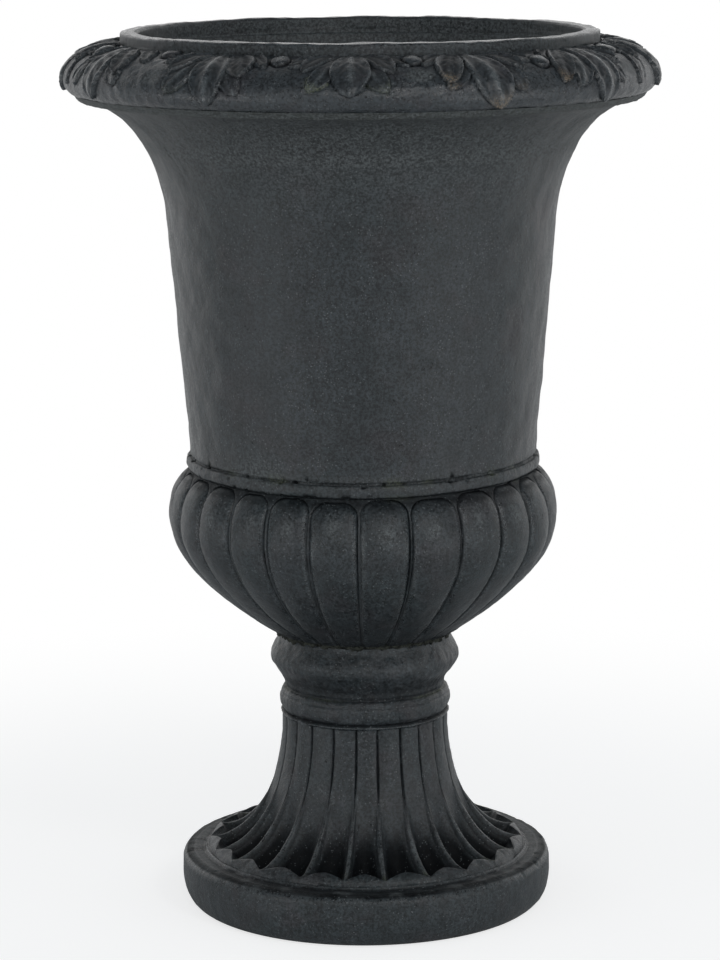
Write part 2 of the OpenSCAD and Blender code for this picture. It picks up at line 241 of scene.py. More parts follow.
lobe_heights = np.r_[np.linspace(0, LOBE_TOPS, 150), np.linspace(LOBE_TOPS, LOBE_HIGH - 1.2, 60)[1:]]
lobe_run = np.c_[crest_radius(lobe_heights), BOWL_Z + lobe_heights]
lobe_run[-1, 0] -= LEDGE_DROP
print("crest radius at the foot, belly and shoulder:", crest_radius(np.array([0, 100, 143])).round(1))

# %% The bell's outline and the whole bowl
WAIST_R, FLANGE_R, LIP_R, MOUTH_R, LEDGE_R, HOLE_R = 146.5, 236, 200, 185, 182, 13.5
BELL_TAPER, BELL_H, FLARE_H, BEND_H, WALL = 26, 304, 97, 301, 14
RECESS_R, RECESS_Z, FLOOR_Z = 42, 254, 268


def bell_radius(height):
    """Radius of the bell at a height above the bead: a slight taper, then a quarter-ellipse flare."""
    turn = np.clip((height - BEND_H + FLARE_H) / FLARE_H, 0, 1)
    flare_out = FLANGE_R - WAIST_R - BELL_TAPER
    return WAIST_R + BELL_TAPER * height / BELL_H + flare_out * (1 - np.sqrt(1 - turn ** 2))


flare_low = BEND_H - FLARE_H
bell_heights = np.r_[np.linspace(0, flare_low, 30)[:-1],
                     flare_low + FLARE_H * np.sin(np.radians(np.linspace(0, 90, 60)))]
bell_run = np.c_[bell_radius(bell_heights), BELL_Z + bell_heights]
bell_run = np.r_[bell_run[bell_run[:, 0] < 229],
                 [(232.5, 693.0), (234.8, 694.0), (FLANGE_R - 0.3, 695.0)]]
bead_turn = np.radians(np.linspace(-90, 90, 30))
bead_run = np.c_[WAIST_R + 3.6 * np.maximum(np.cos(bead_turn), 0) ** 0.55,
                 TORUS_Z - 0.5 + (BELL_Z - TORUS_Z - 0.8) * (1 + np.sin(bead_turn)) / 2]
inner_heights = np.linspace(BELL_H, 0, 60)
inner_bell = np.c_[np.minimum(LEDGE_R, bell_radius(inner_heights) - WALL), BELL_Z + inner_heights]
inner_heights = np.linspace(LOBE_HIGH, 30, 40)
inner_bowl = np.c_[crest_radius(inner_heights) * (1 - LOBE_INSET / BOWL_R) - WALL,
                   BOWL_Z + inner_heights]
bowl_runs = [
    ("gadroons", lobe_run[:150], 1.5),
    ("gadroon_tops", lobe_run[149:], 0.65),
    ("low_quirk", [lobe_run[-1], (WAIST_R - 0.6, TORUS_Z - 0.9), bead_run[0]], 0.8),
    ("bead", bead_run, 0.8),
    ("high_quirk", [bead_run[-1],
                    *beside(WAIST_R, BELL_Z, (-0.3, -1.0), (-0.3, 0.3), (0.6, 1.1), (0.8, 2.2))], 0.6),
    ("bell", np.r_[beside(WAIST_R, BELL_Z, (0.8, 2.2), (0.7, 5)), bell_run[2:]], 4),
    ("flange", [bell_run[-1], *beside(FLANGE_R, FLANGE_Z, (0, -0.3), (-0.5, 0)), (LIP_R, FLANGE_Z)], 4),
    ("lip", [(LIP_R, FLANGE_Z), *beside(LIP_R, LIP_Z, (0, -2.6), (-0.8, -1), (-2.8, -0.4)),
             *beside(MOUTH_R, LIP_Z, (2.2, -0.4), (0.6, -1.1), (0, -2.8), (0, -14), (-0.6, -15)),
             *beside(LEDGE_R, LIP_Z, (0.8, -15), (0, -16))], 1.2),
    ("inside", np.r_[[(LEDGE_R, LIP_Z - 16)], inner_bell, inner_bowl], 9),
    ("floor", [inner_bowl[-1], (RECESS_R, FLOOR_Z)], 9),
    ("recess", [(RECESS_R, FLOOR_Z), (RECESS_R, RECESS_Z), (HOLE_R, RECESS_Z)], 7),
    ("hole", [(HOLE_R, RECESS_Z), (HOLE_R, BOWL_Z)], 8),
    ("underside", [(HOLE_R, BOWL_Z), (72, BOWL_Z), lobe_run[0]], 9)]
print("the bowl's outline has", len(bowl_runs), "runs")

# %% [markdown]
# The seams that the photograph shows stand where it has them, a little wider apart than the rest.
# What matters at each point of a gadroon is its distance in millimetres from the gadroon's outline,
# a tall rectangle with round upper corners. The face is crowned a little and turns down over its
# last few millimetres to a fine cut line. Beyond that line lies the ground, which between two
# gadroons is a thin strip left standing, and above them a narrow ledge under the bead.

# %% Carve the gadroons
LOBES, TOP_GAP, CORNER_R, ROUND_OVER = 26, 3.4, 12.5, 4.6
SIDE_CROWN, TOP_CROWN, EDGE_DROP = 3.3, 3.8, 1.9
lobe = np.arange(LOBES)
lobe_seams = wandering_seams(
    LOBES, 0, 3.9 - 4.4 * (lobe - 4) / 18 + np.random.default_rng(11).normal(0, 0.3, LOBES),
    {0: -0.3, 1: 1.3, 2: 3.0, 3: 3.8, 4: 3.9, 22: -0.5, 23: -0.4, 24: -1.1, 25: -1.4})
lobe_angles, lobe_place, lobe_index, seam_index = pattern_columns(lobe_seams, 34, 0.66)
draw = np.random.default_rng(12)
lobe_swell = draw.normal(0, 0.45, LOBES)[lobe_index]
lobe_edge = draw.uniform(0.8, 1.35, LOBES)[lobe_index]
lobe_top = draw.normal(0, 0.8, LOBES)[lobe_index]
lobe_lean = draw.normal(0, 0.7, LOBES)[lobe_index]
strip_half = draw.uniform(1.1, 2.3, LOBES)[seam_index]
line_depth = draw.uniform(0.45, 1.35, LOBES)[seam_index]
# Place and height of the painted highlight on each gadroon's shoulder.
highlight_across = draw.uniform(-0.25, 0.3, LOBES)[lobe_index]
highlight_height = draw.normal(118, 2.5, LOBES)[lobe_index]

bowl_r, bowl_z, bowl_rows = turned(bowl_runs, lobe_angles)
carved = slice(0, bowl_rows["gadroon_tops"].stop)
height = bowl_z[carved] - BOWL_Z
scale = crest_radius(height) / BOWL_R
half_mm = math.pi / LOBES * crest_radius(height)
from_side = (1 - np.abs(lobe_place)) * half_mm - strip_half * scale
from_top = LOBE_HIGH - TOP_GAP + lobe_top - height
corner = CORNER_R * scale
from_outline = corner - np.hypot(np.maximum(corner - from_side, 0), np.maximum(corner - from_top, 0))
round_over = ROUND_OVER * scale * lobe_edge
turned_down = 1 - np.sqrt(1 - np.clip(1 - from_outline / round_over, 0, 1) ** 2)
crown = SIDE_CROWN * scale * lobe_place ** 2 + TOP_CROWN * np.clip(1 - from_top / 17, 0, 1) ** 2
uneven = 1 + 0.45 * lumps(around(bowl_r, bowl_z, lobe_angles)[carved], 22, 13)
ground = ease(-from_outline, 0.2, 0.9)
cut_line = line_depth * uneven * peak(from_outline, -0.15, 0.6) * (0.25 + 0.75 * scale ** 2)
drop = ((crown + EDGE_DROP * scale * turned_down) * (1 - ground)
        + (LEDGE_DROP + 0.3) * scale * ground + 1.05 * cut_line)
bowl_r[carved] = crest_radius(height) - drop + (1 - ground) * (lobe_swell + lobe_lean * lobe_place)
bowl_r[carved.stop - 1] = lobe_run[-1, 0]
print("the carving goes from", drop.min().round(1), "to", drop.max().round(1), "mm under the crest")

# %% [markdown]
# The plain walls are only nearly plain. Broad lumps tilt the light on the bell, finer ones roughen
# it just under the rim, where the rim was bonded on and rubbed down, and small voids open along the
# bead's upper crease. The bead itself sags by more than two millimetres at the front. The lip's top
# edge was trimmed by hand, so it waves by about a millimetre.

# %% Finish the bowl casting
BEAD_Z, SAG = 387, 2.4
outer = bowl_r > 140
bowl_grid = around(bowl_r, bowl_z, lobe_angles)
free = on_runs(bowl_rows, "gadroons", "gadroon_tops", "low_quirk", "bead",
               "high_quirk", "bell", "lip", "inside")
free[:2] = 0
near_flange = ease(bowl_z, 600, 690) * (bowl_z < 697)
on_bell = on_runs(bowl_rows, "bell") + 1.6 * on_runs(bowl_rows, "inside")
crease = peak(bowl_z, BELL_Z, 3.5) * outer + 0.5 * peak(bowl_z, TORUS_Z, 3)
voids = ease(lumps(bowl_grid, 9, 31), 0.55, 1.0) * crease
moved = (0.5 * lumps(bowl_grid, 95, 32) + 0.3 * lumps(bowl_grid, 30, 33) * (0.6 + on_bell)
         + 0.15 * lumps(bowl_grid, 11, 34) * (0.8 + on_bell * near_flange) - 1.7 * voids
         + 0.9 * lumps(bowl_grid, 7, 38) * ease(bowl_z, 248, 239) * (bowl_r > 70)
         + (0.35 * lumps(bowl_grid, 16, 40) + 0.22 * lumps(bowl_grid, 5, 45))
         * peak(bowl_z, BEAD_Z, 6, 4) * outer)
fade = free * (1 - ease(bowl_z, FLANGE_Z - 4, FLANGE_Z) * (bowl_z < 740))
bowl_grid = pushed_out(bowl_grid, moved * fade)
bowl_turn = turn_from(lobe_angles)
bowl_grid[:, :, 2] -= SAG * peak(bowl_turn, 0, 42) * peak(bowl_z, 384, 17) * (bowl_r > 135)
trim = 0.55 + 0.4 * lumps(bowl_grid, 60, 35) + 0.25 * lumps(bowl_grid, 16, 36)
bowl_grid[:, :, 2] -= ease(bowl_z, LIP_Z - 4, LIP_Z - 0.5) * np.clip(trim, 0.05, 2)
print("the bowl casting reaches", (bowl_grid[:, :, 2].max()).round(2), "mm high")

# %% [markdown]
# The masks follow the same distances. Painted shade lies in the creases, the voids, the cut lines,
# the tops and the lower parts of the gadroons, and their edges are worn. A painted highlight lies on
# each gadroon's shoulder, and painted light lies on the lip's walls and inside the mouth. Pale bloom
# lies under the flange and to the left of the bead, where the photograph shows it.

# %% Masks and mesh of the bowl casting
# Painted shade in the creases, the voids, the cut lines, the gadroons' tops and their lower parts.
hollow = (0.7 * peak(bowl_z, TORUS_Z, 0.8) * outer + voids
          + 0.6 * ease(lumps(bowl_grid, 26, 39), -0.7, 0.5) * peak(bowl_z, BELL_Z, 1.3) * outer)
hollow[carved] = np.maximum(hollow[carved], 0.38 * cut_line + 0.6 * ease(height, 130, 138)
                            + 0.25 * ease(height, 60, 0) + 0.3 * ease(height, 10, 0))
# A painted highlight on each gadroon's shoulder, as a pale spot in the bloom and raised masks.
painted_shoulder_highlight = uneven * peak((lobe_place - highlight_across) * half_mm, 0, 5.5) * peak(height, highlight_height, 8)
raised = ease(bowl_z, LIP_Z - 2.2, LIP_Z - 1.2) * (bowl_r > MOUTH_R + 3)
raised[carved] = np.maximum(0.8 * ease(from_outline, 0.4, 1.6) * ease(from_outline, 5.0, 2.0),
                            0.3 * painted_shoulder_highlight)
in_mouth, under_lip = bowl_r < MOUTH_R + 0.5, bowl_z < LIP_Z - 3
# Pale bloom under the flange and left of the bead, and painted light inside the mouth and on the lip's
# outer wall.
bloom_and_painted_light = (0.8 * ease(bowl_z, 590, 680) * on_bell * (bowl_z < 697) * (bowl_r > 165)
         + 0.75 * (bowl_z > 650) * in_mouth * under_lip
         + 0.4 * (bowl_z > 690) * ~in_mouth * (bowl_r < 201) * under_lip
         + 0.8 * peak(bowl_turn, -36, 9) * peak(bowl_z, 400, 10) * outer + 0.5 * crease)
bloom_and_painted_light[carved] = np.maximum(bloom_and_painted_light[carved], 0.95 * painted_shoulder_highlight)
bowl_casting = make_piece("bowl_casting", bowl_grid, "bowl_shell", {
    "hollow": hollow, "raised": raised, "rough": near_flange * on_bell + 0.7 * crease,
    "lime": 0.5 * crease * ease(lumps(bowl_grid, 40, 37), 0.35, 1.0), "bloom_and_painted_light": bloom_and_painted_light})

# %% [markdown]
# ## The leafed rim
# The rim is a ring of its own: a roll like a flattened quarter ellipse, with 14 groups of leaves
# that hang over it from the lip. In each group a ribbed middle leaf reaches to the widest line or
# past it, a shorter leaf springs from each side of it, and a longer, lower leaf shows its tip under
# that. A bud sits between two groups. The leaves are a height field over the roll, in millimetres
# across and down, which is how such an ornament is drawn before it is carved.

# %% The roll
ROLL_IN_R, ROLL_START_R, ROLL_MID_Z, ROLL_TOP_Z, RIM_R = 201.5, 198.5, 711.5, 743, 252.5
ROLL_LOW_R, BOND, RELIEF = 14, 1.5, 3.5
LEAF_GROUPS, RIM_COLUMNS, RING_TURN, MM_PER_DEGREE = 14, 1400, -1.4, 4.2
rim_angles = np.radians(RING_TURN + np.arange(RIM_COLUMNS) * 360 / RIM_COLUMNS)
roll_base_r = RIM_R - RELIEF
low_round = arc(roll_base_r - ROLL_LOW_R, ROLL_MID_Z, ROLL_LOW_R, ROLL_LOW_R, -90, 0, 20)
half_width, half_height = roll_base_r - ROLL_START_R, ROLL_TOP_Z - RELIEF - ROLL_MID_Z
high_round = arc(ROLL_START_R, ROLL_MID_Z, half_width, half_height,
                 0, math.degrees(math.acos((ROLL_IN_R - ROLL_START_R) / half_width)), 80)
rim_r, rim_z, rim_rows = turned([
    ("low_round", low_round, 1.0),
    ("roll", high_round, 0.85),
    ("bore", [high_round[-1], (ROLL_IN_R, FLANGE_Z + BOND)], 6),
    ("seat", [(ROLL_IN_R, FLANGE_Z + BOND), low_round[0]], 6)], rim_angles)
roll = slice(0, rim_rows["roll"].stop)
steps = np.r_[np.hypot(np.diff(rim_r[roll, 0]), np.diff(rim_z[roll, 0])), 0]
y = np.cumsum(steps[::-1])[::-1, None]
print("the roll is", y[rim_rows["roll"].start, 0].round(1),
      "mm long from the lip to its widest line and", y[0, 0].round(1), "mm to its underside")

# %% [markdown]
# A leaf is written as its root, its tip, its half width and its bow, all in millimetres from the
# middle of the group at the lip, and then its height and its spoon. Across a roofed leaf two hollow
# facets rise to a sharp rib, and a spooned one has a raised edge round a scooped middle. A narrow
# moat is cut round each leaf, and painted shade in it keeps the leaf dark against the leaves under
# it. The scoop and the troughs of the veins get painted shade too, and the rib, edges and tip are
# paler, partly from wear and partly as a painted highlight.

# %% One leaf as a height field
relief = dict.fromkeys(("field", "raised", "hollow", "rubbed", "lime"), 0.0)


def settle(cover, field, **masks):
    """Lays a form over what is there: cover goes from 0 to 1, and masks are its share of each."""
    relief["field"] = relief["field"] * (1 - cover) + field
    for name, share in masks.items():
        relief[name] = np.clip(relief[name] * (1 - cover) + share, 0, 1)


def lay_leaf(x, root_x, root_y, tip_x, tip_y, half_max, bow, top, spoon, rubbed, lime):
    """Lays a leaf over the roll, with painted shade in its moat and scoop, wear and a painted highlight
    on its ridges, and its tip rubbed or limed.
    """
    length = math.hypot(tip_x - root_x, tip_y - root_y)
    run_x, run_y = (tip_x - root_x) / length, (tip_y - root_y) / length
    along = ((x - root_x) * run_x + (y - root_y) * run_y) / length
    inside = np.clip(along, 0, 1)
    side = np.abs((x - root_x) * run_y - (y - root_y) * run_x - bow * 4 * inside * (1 - inside))
    half = half_max * np.sin(math.pi * inside ** 1.45) ** 0.62
    edge = np.minimum(half - side, np.minimum(along, 1 - along) * length + 0.3)
    across = np.clip(side / np.maximum(half, 0.5), 0, 1)
    ridge = (1 - across) ** 1.4
    edge_up = ease(across, 0.6, 0.9) * ease(inside, 0, 0.3)
    vein = np.sin(2 * math.pi * (5.5 * inside - 1.6 * across)) * across * (1 - across) * 4
    roofed = 0.25 + 0.75 * ridge + 0.42 * edge_up
    spooned = (0.3 + 0.7 * edge_up - 0.25 * ease(inside, 0.3, 0.8) * (1 - across ** 2)
               + 0.15 * ridge ** 2)
    rise = 0.55 + 0.45 * ease(inside, 0.0, 0.6)
    body = (rise * ((1 - spoon) * roofed + spoon * spooned + 0.07 * vein)
            + 0.3 * ease(inside, 0.72, 0.95))
    cover = ease(edge, -0.3, 0.7)
    moat = np.exp(-np.clip(-edge, 0, None) ** 2 / 2.2) * (edge < 0.7)
    tip = ease(inside, 0.8, 0.97) * cover
    # Rib, edges and tip paler: partly wear, partly a painted highlight.
    wear_and_painted_highlight = (np.maximum(ease(ridge, 0.6, 1) * (1 - 0.8 * spoon), ease(across, 0.8, 1))
            + 0.4 * ease(inside, 0.85, 1))
    # Painted shade in the scooped middle and the troughs of the veins.
    scoop_painted_shade = (0.25 + 0.35 * spoon) * ease(across, 0.8, 0.4) * (1 - 0.8 * ridge ** 3 * (1 - spoon))
    scoop_painted_shade = np.clip(scoop_painted_shade * ease(inside, 0.1, 0.4) + 0.15 * ease(-vein, 0.3, 1.0), 0, 1)
    # The moat gets painted shade.
    settle(cover, top * body * cover - 0.8 * moat * (1 - cover) ** 2,
           raised=cover * np.clip(wear_and_painted_highlight, 0, 1), hollow=0.45 * moat * (1 - cover) + scoop_painted_shade * cover,
           rubbed=rubbed * tip, lime=lime * (tip + moat * (inside > 0.75)))


def lay_bud(x, middle_x, middle_y, half_x=8.6, half_y=9.5, top=2.6):
    """Lays a round bud over the roll, dimpled where its petals meet."""
    reach = np.hypot((x - middle_x) / half_x, (y - middle_y) / half_y)
    dome = np.sqrt(np.clip(1 - reach ** 2, 0, 1))
    cover = ease(1 - reach, 0, 0.12)
    moat = peak(reach, 1, 0.22) * (1 - cover)
    petals = 0.12 * np.cos(3 * np.arctan2(y - middle_y, x - middle_x)) * reach
    # The moat round the bud gets painted shade.
    settle(cover, cover * (0.6 + top * np.clip(dome - petals, 0, 1)) - 1.1 * moat * (1 - cover),
           raised=cover * ease(dome, 0.75, 1), hollow=moat)


print("leaf helpers ready, for", ", ".join(relief))

# %% [markdown]
# Under the leaves the bare roll is almost smooth. The small outer leaves are laid first, then the
# lower and the upper side leaves, the bud, and last the middle leaf, so that each covers the ones
# below it. Groups that the photograph shows stand where it has them, and some of their leaves have
# shapes of their own. Every leaf is drawn again with its own small errors. In a few places the dark
# finish has been rubbed off the tips, and lime has settled there.

# %% The leaves' places and shapes
SEEN_GROUPS = {0: -1.2, 1: 25.0, 2: 52.8, 3: 79.5, 11: 275.5, 12: 301.5, 13: 330.7}
GROUP_LEAVES = {  # root across, root down, tip across, tip down, half width, bow, height, spoon
    "outer": (14, -5, 49, 27, 7.5, 2.0, 2.6, 0.7), "under": (10, 10, 31, 57, 10.0, -2.5, 2.1, 0.3),
    "upper": (4, -4, 36, 37, 10.0, 4.5, 3.2, 0.85), "middle": (0, -6, 0, 62, 15.5, 0.0, 3.3, 0.1)}
SEEN_LEAVES = {  # by group, kind and side: the same measures, from the root to the bow
    (1, "upper", -1): (9, -3, 31, 49, 12.5, 4.5), (13, "upper", 1): (8, -3, 32, 43, 13.5, 4.5),
    (2, "upper", -1): (8, -4, 48, 54, 11.5, 4.5), (12, "upper", 1): (-12, 2, 28, 45, 11.0, 4.5),
    (2, "under", 1): (12, 4, 27, 58, 9.5, -2.5), (3, "under", -1): (24, 2, 56, 61, 9.5, -2.5),
    (11, "under", 1): (16, 2, 50, 60, 9.5, -2.5), (12, "under", -1): (30, 2, 40, 60, 9.5, -2.5),
    (1, "middle", 1): (-7, -6, 9, 71, 15.5, 0), (2, "middle", 1): (3, -6, 0, 70, 14.5, 1),
    (3, "middle", 1): (26, -6, -5, 67, 13.5, 4), (6, "middle", 1): (2, -6, -3, 67, 15, 0),
    (9, "middle", 1): (-3, -6, 4, 66, 15, 0), (11, "middle", 1): (-14, -6, 8, 67, 13.5, 2),
    (12, "middle", 1): (-30, -6, -3, 69, 14, 4), (13, "middle", 1): (-4, -6, 7, 67, 15, 0)}
BUD_DOWN, BUD_DROP = 16, {1: 9, 12: -8}
RUBBED_TIPS = {(1, "under", -1): 0.5, (1, "upper", -1): 0.8, (1, "middle", 1): 0.75,
               (1, "under", 1): 0.2, (2, "upper", -1): 0.8, (8, "under", 1): 0.7,
               (10, "middle", 1): 0.5, (5, "under", -1): 0.6}
LIMED_TIPS = {(0, "under", -1): 0.9, (0, "under", 1): 0.3, (4, "under", 1): 0.6, (13, "under", -1): 0.2}
print(len(SEEN_LEAVES), "leaves have a shape of their own")

# %% Lay the leaves
draw = np.random.default_rng(21)
seen, seen_angles = list(SEEN_GROUPS), list(SEEN_GROUPS.values())
group_angles = np.interp(np.arange(LEAF_GROUPS), seen, seen_angles) + draw.normal(0, 0.35, LEAF_GROUPS)
group_angles[seen] = seen_angles
for kind in ("outer", "under", "upper", "bud", "middle"):
    for group in range(LEAF_GROUPS):
        x = turn_from(rim_angles, group_angles[group]) * MM_PER_DEGREE
        for side in ((1,) if kind in ("middle", "bud") else (-1, 1)):
            shift = draw.normal(0, 1.1, 4)
            if kind == "bud":
                to_next = (group_angles[(group + 1) % LEAF_GROUPS] - group_angles[group]) % 360
                lay_bud(x, to_next / 2 * MM_PER_DEGREE + shift[0],
                        BUD_DOWN + BUD_DROP.get(group, 0) + shift[1])
                continue
            leaf, (top, spoon) = (group, kind, side), GROUP_LEAVES[kind][6:]
            root_x, root_y, tip_x, tip_y, half, bow = SEEN_LEAVES.get(leaf, GROUP_LEAVES[kind][:6])
            lay_leaf(x, side * root_x + 0.6 * shift[0], root_y, side * tip_x + shift[1],
                     tip_y + shift[2], half * (1 + 0.06 * shift[3]), side * bow + 0.5 * shift[1],
                     top * (1 + 0.05 * shift[0]), spoon, RUBBED_TIPS.get(leaf, 0),
                     LIMED_TIPS.get(leaf, 0))
field = relief.pop("field")
print("leaves stand from", field.min().round(2), "to", field.max().round(2), "mm over the roll")

# %% Finish the leafed rim
SIDE_REACH, FRONT_REACH = 248.9, 252.0
BLOOM_SPOTS = [  # degrees, down, half width and half height in mm, strength
    (12.2, 40, 13, 8, 0.9), (-41, 46, 12, 7, 0.6), (64, 44, 16, 9, 0.8), (-150, 42, 14, 8, 0.7),
    (140, 38, 12, 9, 0.6)]
rim_grid = around(rim_r, rim_z, rim_angles)
unevenness = (-0.5 + 0.3 * lumps(rim_grid, 70, 41) + 0.28 * lumps(rim_grid, 14, 42)
              + 0.14 * lumps(rim_grid, 5, 43))
rim_move = np.minimum(unevenness, 0.0) * on_runs(rim_rows, "low_round", "roll")
rim_move[roll] += np.clip(field, -1.6, 3.4)
rim_grid = pushed_out(rim_grid, rim_move)
for axis, reach in enumerate((SIDE_REACH, FRONT_REACH)):
    rim_grid[:, :, axis] = np.clip(rim_grid[:, :, axis], -reach, reach)
rim_masks = {name: np.zeros_like(rim_r) for name in (*relief, "bloom_and_painted_light")}
for name, mask in relief.items():
    rim_masks[name][roll] = mask
for middle, down, half_x, half_y, strength in BLOOM_SPOTS:
    reach = np.hypot(turn_from(rim_angles, middle) * MM_PER_DEGREE / half_x, (y - down) / half_y)
    rim_masks["bloom_and_painted_light"][roll] += strength * ease(reach, 1.15, 0.6) * (field < 0.3)
rim_masks["rough"] = 0.5 * ease(rim_z, 706, 698) + 0.25 * ease(lumps(rim_grid, 45, 44), 0.2, 0.9)
leafed_rim = make_piece("leafed_rim", rim_grid, "rim_ring", rim_masks)

# %% [markdown]
# ## The foot casting
# The lower half is the second hollow casting. A round plinth carries a fluted foot whose 22 flutes
# run down and outwards, get deeper, and end in pockets behind a row of low mounds. Above the flutes
# come a plain band, a round collar, a hollow neck and the knop that carries the bowl.

# %% The foot's outline
PLINTH_EDGE, PLINTH_TOP, FLUTE_TOP, BAND_LOW, BAND_TOP = 43, 45, 162, 165, 168
NECK_Z, KNOP_Z, KNOP_MID, FOOT_TOP = 188, 191, 216, 235
PLINTH_RING_R, APRON_R, APRON_Z = 138.4, 136.8, 46.9
FLUTE_R, FLUTE_OUT, FLUTE_DOWN = 72, 63, 110
NECK_R, KNOP_R, KNOP_TOP_R, CAP_R, CAP_Z, SKIRT_R = 68.5, 81, 73.5, 51.5, 211, 132


def eased(start, end, share):
    return start + (end - start) * (1 - np.cos(math.pi * share)) / 2


share = np.linspace(0, 1, 30)
plinth_edge = arc(151, 37, 8, 8, 0, 90, 16)
collar = arc(NECK_R, BAND_TOP + 10, 4.5, 10, -75, 90)
collar[:, 0] -= 0.9 * peak(collar[:, 1], 183.2, 0.8)
knop_low = np.c_[eased(NECK_R, KNOP_R, share), KNOP_Z + 25 * share]
knop_high = np.c_[eased(KNOP_R, KNOP_TOP_R, share), KNOP_MID + 19 * share]
flute_curve = arc(FLUTE_R + FLUTE_OUT, FLUTE_TOP, -FLUTE_OUT, -FLUTE_DOWN, 90, 0, 200)
hollow_curve = arc(SKIRT_R, FLUTE_TOP, CAP_R - SKIRT_R, -138, 0, 90)
foot_runs = [
    ("plinth_side", np.r_[arc(147, 28, 12, 28, -90, 0, 16), plinth_edge], 2.2),
    ("plinth_top", [plinth_edge[-1],
                    *beside(PLINTH_RING_R, PLINTH_TOP, (3.6, 0), (2.6, -0.9), (1.6, 0),
                            (0.8, 1.4), (0, 2.3), (-0.8, 1.7), (-1.6, 1.9))], 0.9),
    ("apron", [(APRON_R, APRON_Z), (135, PLINTH_TOP + 7)], 0.5),
    ("flutes", np.r_[flute_curve, [(FLUTE_R, BAND_LOW)]], 1.1),
    ("band", [*beside(FLUTE_R, BAND_LOW, (0, 0), (0.6, 0.3), (0.7, 1.2), (-0.6, 2), (-2, 3)),
              collar[0]], 0.6),
    ("collar", collar, 0.8),
    ("neck", [collar[-1], *beside(NECK_R, NECK_Z, (-0.5, 0.8), (-0.5, 2.4)), knop_low[0]], 0.9),
    ("knop", np.r_[knop_low, knop_high[1:]], 1.5),
    ("top", [(KNOP_TOP_R, FOOT_TOP), (HOLE_R, FOOT_TOP)], 8),
    ("hole", [(HOLE_R, FOOT_TOP), (HOLE_R, CAP_Z)], 8),
    ("cap", [(HOLE_R, CAP_Z), (CAP_R, CAP_Z)], 6),
    ("inside", np.r_[[(CAP_R, CAP_Z)], hollow_curve, [(SKIRT_R, 0)]], 6),
    ("stand", [(SKIRT_R, 0), (147, 0)], 5)]
print("the foot's outline has", len(foot_runs), "runs")

# %% [markdown]
# A flute is cut in along the inward normal of the arris curve. Beside the arris, which is a round
# cord that gets thicker on its way down and then runs to a point, the surface falls at once to the
# flute. Near the neck the arris is only a dark line between two almost flat flutes. Lower down each
# flute becomes a deep trough, which closes steeply in a pocket behind its mound.

# %% Cut the flutes
FLUTES, POCKET_TURN, TROUGH_DEEP, MOUND_IN, MOUND_UP = 22, 68, 10, 8.5, 3.6
arris_seams = wandering_seams(
    FLUTES, 180 / FLUTES, np.random.default_rng(51).normal(0, 0.5, FLUTES),
    {0: -0.2, 1: 0.0, 2: -1.2, 3: -2.2, 4: -2.6, -1: 1.6, -2: 1.8, -3: 0.6, -4: 1.2, -5: 2.4})
foot_angles, flute_place, flute_index, cord_index = pattern_columns(arris_seams, 36, 0.6)
draw = np.random.default_rng(52)
flute_deep = draw.uniform(0.85, 1.15, FLUTES)[flute_index]
cord_thick = draw.uniform(0.8, 1.25, FLUTES)[cord_index]
foot_r, foot_z, foot_rows = turned(foot_runs, foot_angles)
plain_r, plain_z = foot_r[:, :1].copy(), foot_z[:, :1].copy()
cut = foot_rows["flutes"]
sine = np.clip((FLUTE_TOP - foot_z[cut]) / FLUTE_DOWN, 0, 1)
turn = np.degrees(np.arcsin(sine))
inward = np.stack([-FLUTE_DOWN * np.cos(np.radians(turn)), -FLUTE_OUT * sine], -1)
inward /= np.linalg.norm(inward, axis=2)[:, :, None]
half_pitch = math.pi / FLUTES * foot_r[cut]
from_arris = (1 - np.abs(flute_place)) * half_pitch
plain_top = ease(turn, 52, 20)
cord_half = cord_thick * (1.1 + 1.9 * sine ** 2) * (1 - 0.72 * ease(turn, 74, 90))
cord_high = (1.3 + 2.2 * sine ** 1.5) * ease(turn, 91, 76) * (1 - plain_top)
cord_fall = 1 - np.sqrt(1 - np.clip(from_arris / cord_half, 0, 1) ** 2)
beside_cord = from_arris - cord_half - 0.3
trough = np.where(turn < POCKET_TURN,
                  0.2 + (TROUGH_DEEP - 0.2) * (sine / math.sin(math.radians(POCKET_TURN))) ** 3.6,
                  TROUGH_DEEP * np.sqrt(np.clip(
                      1 - ((turn - POCKET_TURN) / (90 - POCKET_TURN)) ** 2, 0, 1)))
into_flute = np.clip((from_arris - cord_half) / (half_pitch - cord_half), 0, 1)
cut_in = (cord_high * cord_fall + trough * flute_deep * (1 - (1 - into_flute) ** 2.6)
          + 0.5 * peak(beside_cord, 0, 0.5) * ease(turn, 88, 78) * (1 - plain_top)
          + (1.6 * cord_thick * peak(from_arris, 0, 0.9) + 1.5 * np.abs(flute_place) ** 2.2) * plain_top)
foot_r[cut] += inward[:, :, 0] * cut_in - MOUND_IN * into_flute ** 0.8 * sine ** 12
foot_z[cut] += inward[:, :, 1] * cut_in + MOUND_UP * (1 - (1 - into_flute) ** 2) * ease(turn, 82, 90)
apron = foot_rows["apron"]
rise = np.arange(apron.stop - apron.start)[:, None] / (apron.stop - apron.start)
foot_r[apron] = APRON_R + (foot_r[cut.start] - APRON_R) * rise
foot_z[apron] = APRON_Z + (foot_z[cut.start] - APRON_Z) * np.sin(rise * math.pi / 2) ** 0.7
print("troughs are up to", cut_in.max().round(1), "mm deep")

# %% [markdown]
# The flutes lean by a degree or two as they go up, and the parts above them are rougher. The foot
# stays flat where it stands and where it meets the mortar. Its pockets, quirks and the lines beside
# the arrises get painted shade, the arrises are worn and pale low down, with painted glints near
# their lower ends, and lime sits in the pockets and under the neck. On the plinth's top, painted
# light makes the sides paler and painted shade makes the front darker.

